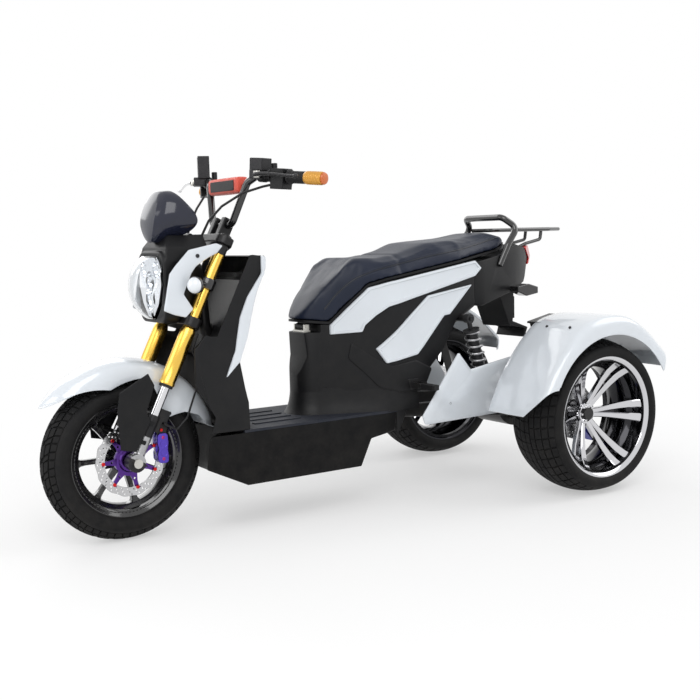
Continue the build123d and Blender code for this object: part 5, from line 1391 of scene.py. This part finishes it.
# smoked visor: rows of (height above the lamp, half width, x at the sides, x in front)
lampOrigin = (504.34, 720.5)
visorSetup = {
    "thick": 0.003, "frontShare": 0.56,
    "rows": [(126, 20, 104, 131), (138, 44, 66, 134), (156, 68, 30, 136), (180, 88, 16, 136), (206, 92, 24, 131),
             (236, 82, 46, 121),
             (258, 64, 62, 111), (269, 46, 72, 104), (272, 34, 78, 99)],
}


def makeVisor(setup):
    backs = smoothPath([(z, half, back) for z, half, back, _ in setup["rows"]], 4)
    fronts = smoothPath([(z, half, front) for z, half, _, front in setup["rows"]], 4)
    verts, share = [], setup["frontShare"]
    for (z, half, back), (_, _, ahead) in zip(backs, fronts):
        row = [(half * share * t, ahead - 2.5 * t * t) for t in (k / 4 for k in range(5))]  # the flat front
        for t in (k / 9 for k in range(1, 10)):  # and the cheek behind it
            y = half * (share + (1 - share) * math.sin(t * math.pi / 2))
            row.append((y, ahead - 4.5 - (ahead - 4.5 - back) * (0.25 * t + 0.75 * t ** 2.2)))
        full = [(-a, b) for a, b in reversed(row[1:])] + row
        verts += [(lampOrigin[0] + x, y, lampOrigin[1] + z) for y, x in full]
    mesh = tidyMesh("visorSheet", metres(verts), gridFaces(len(backs) - 1, len(verts) // len(backs)), 60)
    return thickened(mesh, setup["thick"], Vector((0.50, 0, 0.93)), 30, 0.0008)


addPiece("smokedVisor", [meshShape(makeVisor(visorSetup))], "smokedScreen", "steering", ["windscreen"], sharp=26)
wing = [(-26, 120), (-46, 112), (-28, 92), (3, 78), (40, 56), (55, 37), (81, -21), (53, -64), (77, -87), (112, -78), (142, -65),
        (121, 37), (103, 59), (60, 103)]
wingOutline = [(x + lampOrigin[0], z + lampOrigin[1]) for x, z in wing]
shapes = panelPair(wingOutline, "wing", lambda x, z: 114, cut=("z", 12), corner=4, back=-0.2)
addPiece("lampWingPanels", shapes, "pearlWhite", "steering", ["lamp_wings"], sharp=24)

# fins and bulb between the bowl and the lens
lampSetup = {
    "bulbs": [(604, 0, 752.5), (604, 24, 694.5), (604, -24, 694.5)],
    "dish": [(1, 0), (10, 1.5), (17, 7), (21, 16), (22.5, 16), (22.5, 14), (19, 5), (11, -1.5), (1, -2)],
    "bulb": [(0.5, 0), (4, 0), (5.2, 3), (5.2, 9), (3.6, 13), (0.5, 14.5)],
    "fins": [[(610, -58, 700), (622, -30, 728), (626, 0, 737), (622, 30, 728), (610, 58, 700)],
             [(610, 0, 644), (624, 0, 676), (627, 0, 705), (626, 0, 737)], [(606, -46, 778), (622, 0, 772), (606, 46, 778)]],
}
lampShapes = []
for place in lampSetup["bulbs"]:
    turn = placed(*place) @ Matrix.Rotation(math.radians(-90), 4, "Z")
    lampShapes.append(lathe(lampSetup["dish"], turn, 28, closed=True, finish=0))
    lampShapes.append(lathe(lampSetup["bulb"], turn, 16, closed=True, finish=1))
for points in lampSetup["fins"]:
    lampShapes.append((*tube([Vector(p) / 1000 for p in smoothPath(points, 5)], 0.0026, 6), 2))
addPiece("headlampInsides", lampShapes, ["mirrorBowl", "clearPlastic", "glossBlack"], "steering",
         sharp=40)

# indicators: clear bulbs on short stalks, clamped to the fork
indicatorSetup = {
    "place": (566.2, 153.5, 725.0), "turn": -58,
    "bulb": [(0.5, -20), (8, -19.5), (15, -16), (20, -9), (22.5, -1), (22.5, 5), (21, 10), (16, 16), (9, 19), (0.5, 20)],
    "ring": [(21, -6), (24.6, -5), (25.2, -1), (24.6, 3), (21, 4)],
    "collar": [(17.7, 530), (23, 530), (24, 532), (24, 558), (23, 560), (17.7, 560)],
    "stalk": [(0.5190, 0.1105, 0.7250), (0.5400, 0.1270, 0.7250), (0.5580, 0.1440, 0.7250)],
    "stalkRadius": [0.0085, 0.0075, 0.009],
}
bulbPlace = placed(*indicatorSetup["place"]) @ Matrix.Rotation(math.radians(indicatorSetup["turn"]), 4, "Z")
forkLeg = placed(0, forkSetup["half"], 0) @ alongFork  # the left leg's own axis
bulbs = pairOf([lathe(indicatorSetup["bulb"], bulbPlace, 28, closed=True)])
rings = pairOf([lathe(indicatorSetup["ring"], bulbPlace, 28, closed=True, finish=1)])
collars = pairOf([lathe(indicatorSetup["collar"], forkLeg, 28, closed=True, finish=1)])
stalks = pairOf([(*tube(indicatorSetup["stalk"], indicatorSetup["stalkRadius"], 14), 1)])
addPiece("frontIndicatorLamps", bulbs + rings + collars + stalks, ["clearPlastic", "glossBlack"], "steering",
         ["front_indicators"], sharp=36)
print("lamp ready")


# handlebar ends
gripSetup = {"end": (272.7, 375.0, 1009.6), "along": (-0.3715, 0.9246, -0.0844), "length": 118.0, "amber": 60.0, "rings": 13}


def barPlace(setup):  # Y runs out along the bar from the grip's outer end
    along = Vector(setup["along"]).normalized()
    up = Vector((0, 0, 1))
    ahead = along.cross(up).normalized()
    up = ahead.cross(along).normalized()
    return placed(*setup["end"]) @ Matrix((ahead, along, up)).transposed().to_4x4()


gripPlace = barPlace(gripSetup)
inner, split = -gripSetup["length"], -gripSetup["amber"]
rubber = [(11.2, inner), (21, inner), (21.4, inner + 2), (21, inner + 5), (17, inner + 6)]
step = (split - 4 - (inner + 8)) / gripSetup["rings"]
for k in range(gripSetup["rings"]):
    at = inner + 8 + step * k
    rubber += [(16.4, at), (17.4, at + step * 0.25), (17.4, at + step * 0.65), (16.4, at + step * 0.9)]
rubber += [(16.6, split - 1), (16.6, split), (11.2, split)]
amber = [(11.2, split), (17.2, split + 0.5), (18.4, split + 3), (18.6, split + 8)]
for k in range(5):
    at = split + 10 + 8.6 * k
    amber += [(18.6, at), (17.6, at + 1.2), (17.6, at + 2.6), (18.9, at + 3.8)]
amber += [(18.6, -5), (17.0, -1.6), (11.2, -1.2)]
cap = [(0.4, -3), (12, -3), (15.5, -1.6), (17.2, 1.2), (15.5, 4.6), (9, 6.0), (0.4, 6.2)]
gripShapes = [lathe(rubber, gripPlace, 36, closed=True, finish=0), lathe(amber, gripPlace, 36, closed=True, finish=1),
              lathe(cap, gripPlace, 36, closed=True, finish=2)]
addPiece("handGrips", pairOf(gripShapes), ["gripRubber", "amberGrip", "orangeCap"], "steering", ["grips"], sharp=44)

leverSetup = {
    "line": [(395.5, 208, 1030), (395, 226, 1030.5), (389, 262, 1029), (379, 302, 1024), (369, 340, 1018.5),
             (361.5, 374, 1015)],
    "size": [7.0, 6.6, 5.2, 4.4, 4.4, 5.0], "ball": 7.2, "pivot": [(0.5, -9.5), (9, -9.5), (9.6, -8.5), (9.6, 8.5), (9, 9.5),
                                                                   (0.5, 9.5)],
}


def leverShape(setup, finish):
    path = smoothPath(setup["line"], 6)
    size = [v.x for v in smoothPath([(s, 0, 0) for s in setup["size"]], 6)]
    shapes = [(*tube([p / 1000 for p in path], [s / 1000 for s in size], 14), finish)]
    r = setup["ball"]
    ball = [(max(0.3, r * math.sin(a)), -r * math.cos(a)) for a in (math.pi * k / 12 for k in range(13))]
    shapes.append(lathe(ball, Matrix.Translation(path[-1] / 1000), 20, closed=True, finish=finish))
    x, y, z = setup["line"][0]
    upright = placed(x - 6, y, z) @ Matrix.Rotation(math.radians(90), 4, "X")
    shapes.append(lathe(setup["pivot"], upright, 20, closed=True, finish=2))
    return shapes


near, far = leverShape(leverSetup, 0), [mirrored(shape) for shape in leverShape(leverSetup, 1)]
addPiece("brakeLevers", near + far, ["castBlack", "polishedAlloy", "zincSteel"], "steering", ["levers"], sharp=34)

padSetup = {
    "middle": (374.7, 1007.6), "half": 98.0, "wide": 40.0, "tall": 48.0, "round": 13.0, "face": (76.0, 15.0),
    "ends": [(0, -7), (1.5, -3.2), (5, -0.8), (12, 0)], "faceRows": [(-0.8, 0), (1.3, 0), (2.0, -1.0), (2.1, -6)],
}


def roundedBox(wide, tall, radius, steps):  # a rounded rectangle round the middle
    return roundedLoop([(-wide, -tall), (wide, -tall), (wide, tall), (-wide, tall)], radius, steps)


def makePad(setup):
    x, z = setup["middle"]
    half, w, h = setup["half"], setup["wide"] / 2, setup["tall"] / 2
    ends = [(-half + step, grow) for step, grow in setup["ends"]]
    loops = []
    for y, grow in ends + [(0, 0.6)] + [(-y, grow) for y, grow in reversed(ends)]:
        loops.append([(x + p.x, y, z + p.y) for p in roundedBox(w + grow, h + grow, setup["round"], 6)])
    shapes = [(*inMetres(skin(loops)), 0)]
    wide, tall = setup["face"]
    loops = []
    for out, grow in setup["faceRows"]:
        loops.append([(x + w + out, p.x, z + p.y) for p in roundedBox(wide + grow, tall + grow, 5, 5)])
    shapes.append((*inMetres(skin(loops)), 1))
    seam = [(x - w - 0.4, y, z) for y in (-half + 4, half - 4)]
    shapes.append((*tube([Vector(p) / 1000 for p in seam], 0.0016, 8), 1))
    return shapes


addPiece("crossbarPad", makePad(padSetup), ["redCover", "bareRubber"], "steering", ["bar_pad"], sharp=30)
print("handlebar ready")


# fork: gold sliders, polished stanchions, legs with a cast foot
sliderSetup = {
    "gold": [(14.4, 234), (22.4, 234), (22.8, 235.5), (22.8, 242), (21.8, 244), (21.8, 300), (22.1, 301), (22.1, 388),
             (21.4, 397), (18.4, 407),
             (17.5, 409), (17.5, 636), (16.8, 638), (14.4, 638)],
    "top": [(0.5, 638), (18.3, 638), (18.6, 640), (18.6, 664), (17.6, 667), (17.6, 694), (16.4, 697), (12, 697.5), (11, 700),
            (0.5, 700)],
    "seal": [(14.2, 226), (19.4, 226), (20.4, 228), (20.4, 233), (14.2, 234)],
}
sliderShapes = []
for name, finish in (("gold", 0), ("top", 1), ("seal", 1)):
    sliderShapes += pairOf([lathe(sliderSetup[name], forkLeg, 40, closed=True, finish=finish)])
addPiece("forkSliders", sliderShapes, ["goldAnodised", "satinBlack"], "steering", ["fork_tubes"], sharp=30)
legSetup = {"voxel": 0.0016, "passes": 3, "foot": (8, 78)}  # the foot's ends, up the fork


def makeLegs(setup):
    mesh = throughModifiers(cadCopy("lower_legs"), lambda carrier: remeshed(carrier, setup["voxel"]))
    mesh = throughModifiers(mesh, lambda carrier: smoothed(carrier, setup["passes"]))
    unfork = forkPlace().inverted()
    low, high = setup["foot"]
    foot = [low < (unfork @ Vector(face.center)).z * 1000 < high for face in mesh.polygons]
    verts, faces, _ = meshShape(mesh)
    return [(verts, [face for face, inFoot in zip(faces, foot) if inFoot == pale], int(pale)) for pale in (False, True)]


addPiece("forkLegs", makeLegs(legSetup), ["castBlack", "castAlloy"], "steering", ["lower_legs"], sharp=46)

# front caliper with its bridge, bolts and hanger
caliperSetup = {
    "body": [(636, 224), (634, 240), (637, 258), (634, 276), (636, 300), (643, 306), (662, 306), (668, 298), (668.5, 276),
             (664, 262),
             (668.5, 248), (668, 230), (661, 220), (643, 219)],
    "hanger": [(640, 300), (664, 300), (668, 330), (664, 354), (650, 356), (638, 346), (634.8, 320)],
    "bridge": [(660, 226), (668, 232), (668, 294), (660, 300), (656, 290), (656, 236)],
    "bolts": [(651, 232), (651, 294), (655, 316), (652, 345)], "pistons": [(650, 250), (650, 276)],
    "boltHead": [(0.5, 75), (4.6, 75), (4.6, 81.4), (3.8, 82), (2.2, 82), (2.0, 80.4), (0.5, 80.4)],
    "pistonCap": [(0.5, 80), (11.4, 80), (11.4, 81.8), (10.4, 82), (8.6, 80.9), (0.5, 80.9)],
}


def slabShape(outline, low, high, soft, corner, finish):  # extruded along Y with softened rims
    rows = [(soft, low), (soft * 0.3, low + soft * 0.3), (0, low + soft)]
    rows += [(0, high - soft), (soft * 0.3, high - soft * 0.3), (soft, high)]
    loops = [[(p.x, y, p.y) for p in roundedLoop(insetCorners(outline, inset), corner)] for inset, y in rows]
    return (*inMetres(skin(loops)), finish)


def makeCaliper(setup):
    shapes = [slabShape(setup["body"], 66.5, 81.5, 2.2, 3, 0), slabShape(setup["body"], 43.5, 55, 1.6, 3, 0)]
    shapes.append(slabShape(setup["bridge"], 54, 68, 1.0, 2, 0))
    shapes.append(slabShape(setup["hanger"], 69, 76, 1.0, 4, 1))
    for places, profile, steps, finish in (("pistons", "pistonCap", 28, 0), ("bolts", "boltHead", 18, 2)):
        shapes += [lathe(setup[profile], placed(x, 0, z), steps, closed=True, finish=finish) for x, z in setup[places]]
    return shapes


addPiece("frontCaliperBody", makeCaliper(caliperSetup), ["indigoAnodised", "castBlack", "redAnodised"], "steering",
         ["front_caliper"],
         sharp=32)

# springs on the shocks
springSetup = {"foot": (-469.4, 188.0, 292.0), "top": (-391.4, 188.0, 574.0), "from": 0.205, "to": 0.855, "radius": 0.0235,
               "wire": 0.0043,
               "turns": 8.0}


def makeSprings(setup):
    foot, top = Vector(setup["foot"]) / 1000, Vector(setup["top"]) / 1000
    line = top - foot
    lean = math.atan2(line.x, line.z)
    shapes = []
    for side in (1, -1):
        start = foot + line * setup["from"]
        seed = bpy.data.meshes.new("seed")
        values = {"Turns": setup["turns"], "Radius": setup["radius"], "Length": line.length * (setup["to"] - setup["from"]),
                  "Wire": setup["wire"], "Foot": (start.x, start.y * side, start.z), "Lean": (0.0, lean, 0.0),
                  "Finish": materials["springSteel"]}
        shapes.append(meshShape(grown(seed, "coil", values)))
    return shapes


addPiece("shockCoils", makeSprings(springSetup), "springSteel", "chassis", ["shock_springs"], sharp=50)


# screw heads on the panels
def screwHead():
    profile = [(0.3, -1.5), (3.0, -1.5), (4.6, -1.4), (4.6, 1.6), (3.9, 2.4), (2.4, 2.6), (2.2, 1.2), (0.3, 1.2)]
    shape = lathe(profile, Matrix.Rotation(math.radians(90), 4, "X"), 14, closed=True)
    return setDown("head", tidyMesh("head", shape[0], shape[1], 40))


screwSetup = {  # body: rows of (place, facing, size), mirrored to the other side
    "steering": [((540.6, 121.4, 806), (0, 1, 0), 1.25), ((628.6, 82.6, 361), (0, 1, 0), 1.1)],
    "chassis": [((-563.4, 374.0, 547.5), (0.69, 0, 0.72), 1.0), ((-565.4, 474.0, 549.5), (0.69, 0.05, 0.72), 1.0),
                ((-278.4, 226.4, 310), (0, 1, 0), 1.2), ((-461.4, 226.4, 328), (0, 1, 0), 1.0),
                ((-430.4, 226.4, 292), (0, 1, 0), 1.0),
                ((-520.0, 226.4, 410), (0, 1, 0), 1.0), ((-330.4, 226.4, 420), (0, 1, 0), 1.0)],
}


def makeScrews(body, rows):
    head = screwHead()
    both = rows + [((x, -y, z), (a, -b, c), size) for (x, y, z), (a, b, c), size in rows]
    seed = bpy.data.meshes.new("seed")
    seed.from_pydata([tuple(v / 1000 for v in place) for place, _, _ in both], [], [])
    seed.attributes.new("facing", "FLOAT_VECTOR", "POINT")
    seed.attributes.new("size", "FLOAT", "POINT")  # both first, because a new one moves the one before
    seed.attributes["facing"].data.foreach_set("vector", [part for _, way, _ in both for part in way])
    seed.attributes["size"].data.foreach_set("value", [scale for _, _, scale in both])
    mesh = grown(seed, "screwHeads", {"Head": head, "Finish": materials["zincDark"]})
    bpy.data.objects.remove(head)
    return addPiece(body + "Screws", [meshShape(mesh)], "zincDark", body, sharp=40)


makeScrews("steering", screwSetup["steering"])
makeScrews("chassis", screwSetup["chassis"])
print("small parts ready")


# floor and light
stageSetup = {"floor": 12.0, "floorColour": (0.86, 0.86, 0.86), "sky": 0.62, "fade": (1.1, 2.2), "lift": 0.45,
              "lamps": [((2.2, 3.2, 3.4), 3.0, 95), ((-3.4, 1.6, 3.0), 3.0, 60), ((0.5, -3.6, 2.8), 3.0, 50),
                        ((3.6, -0.6, 1.6), 2.0, 26)]}


def seenRay(tree):  # 1 for the rays that show the background
    rays = tree.nodes.new("ShaderNodeLightPath")
    two = addNode(tree, "ShaderNodeMath", {"operation": "MAXIMUM"})
    three = addNode(tree, "ShaderNodeMath", {"operation": "MAXIMUM"})
    tree.links.new(rays.outputs["Is Camera Ray"], two.inputs[0])
    tree.links.new(rays.outputs["Is Glossy Ray"], two.inputs[1])
    tree.links.new(two.outputs[0], three.inputs[0])
    tree.links.new(rays.outputs["Is Transmission Ray"], three.inputs[1])
    return three.outputs[0]


def makeStage(setup):
    half = setup["floor"]
    mesh = bpy.data.meshes.new("floor")
    mesh.from_pydata([(-half, -half, 0), (half, -half, 0), (half, half, 0), (-half, half, 0)], [], [(0, 1, 2, 3)])
    floor = setDown("floor", mesh)
    material = bpy.data.materials.new("paleFloor")
    material.use_nodes = True
    tree = material.node_tree
    shader = tree.nodes["Principled BSDF"]
    shader.inputs["Base Color"].default_value = (*setup["floorColour"], 1)
    shader.inputs["Roughness"].default_value = 0.9
    shader.inputs["Specular IOR Level"].default_value = 0.1
    white = addNode(tree, "ShaderNodeEmission", sockets={"Color": (1, 1, 1, 1), "Strength": 1.0})
    place = tree.nodes.new("ShaderNodeTexCoord").outputs["Object"]
    reach = addNode(tree, "ShaderNodeVectorMath", {"operation": "LENGTH"})
    fade = addNode(tree, "ShaderNodeMapRange", {"interpolation_type": "SMOOTHSTEP"},
                   {"From Min": setup["fade"][0], "From Max": setup["fade"][1], "To Min": setup["lift"], "To Max": 1.0})
    share = addNode(tree, "ShaderNodeMath", {"operation": "MULTIPLY"})
    mix = tree.nodes.new("ShaderNodeMixShader")
    link = tree.links.new
    link(place, reach.inputs[0])
    wire(tree,
         (reach, "Value", fade, "Value"), (fade, 0, share, 0))
    link(seenRay(tree), share.inputs[1])
    wire(tree,
         (share, 0, mix, 0), (shader, 0, mix, 1), (white, 0, mix, 2))
    link(mix.outputs[0], tree.nodes["Material Output"].inputs["Surface"])
    mesh.materials.append(material)
    world = bpy.data.worlds.new("studio")
    bpy.context.scene.world = world
    world.use_nodes = True
    tree = world.node_tree
    soft = tree.nodes["Background"]
    soft.inputs["Color"].default_value = (1, 1, 1, 1)
    soft.inputs["Strength"].default_value = setup["sky"]
    white = addNode(tree, "ShaderNodeBackground", sockets={"Color": (1, 1, 1, 1), "Strength": 1.0})
    mix = tree.nodes.new("ShaderNodeMixShader")
    tree.links.new(seenRay(tree), mix.inputs[0])
    tree.links.new(soft.outputs[0], mix.inputs[1])
    tree.links.new(white.outputs[0], mix.inputs[2])
    tree.links.new(mix.outputs[0], tree.nodes["World Output"].inputs["Surface"])
    for place, size, power in setup["lamps"]:
        data = bpy.data.lights.new("softLamp", "AREA")
        data.size = size
        data.energy = power
        lamp = setDown("softLamp", data)
        lamp.location = place
        lamp.rotation_euler = (Vector((0, 0, 0.4)) - Vector(place)).to_track_quat("-Z", "Y").to_euler()


makeStage(stageSetup)
bpy.context.scene.view_settings.view_transform = "Standard"
print("stage ready")
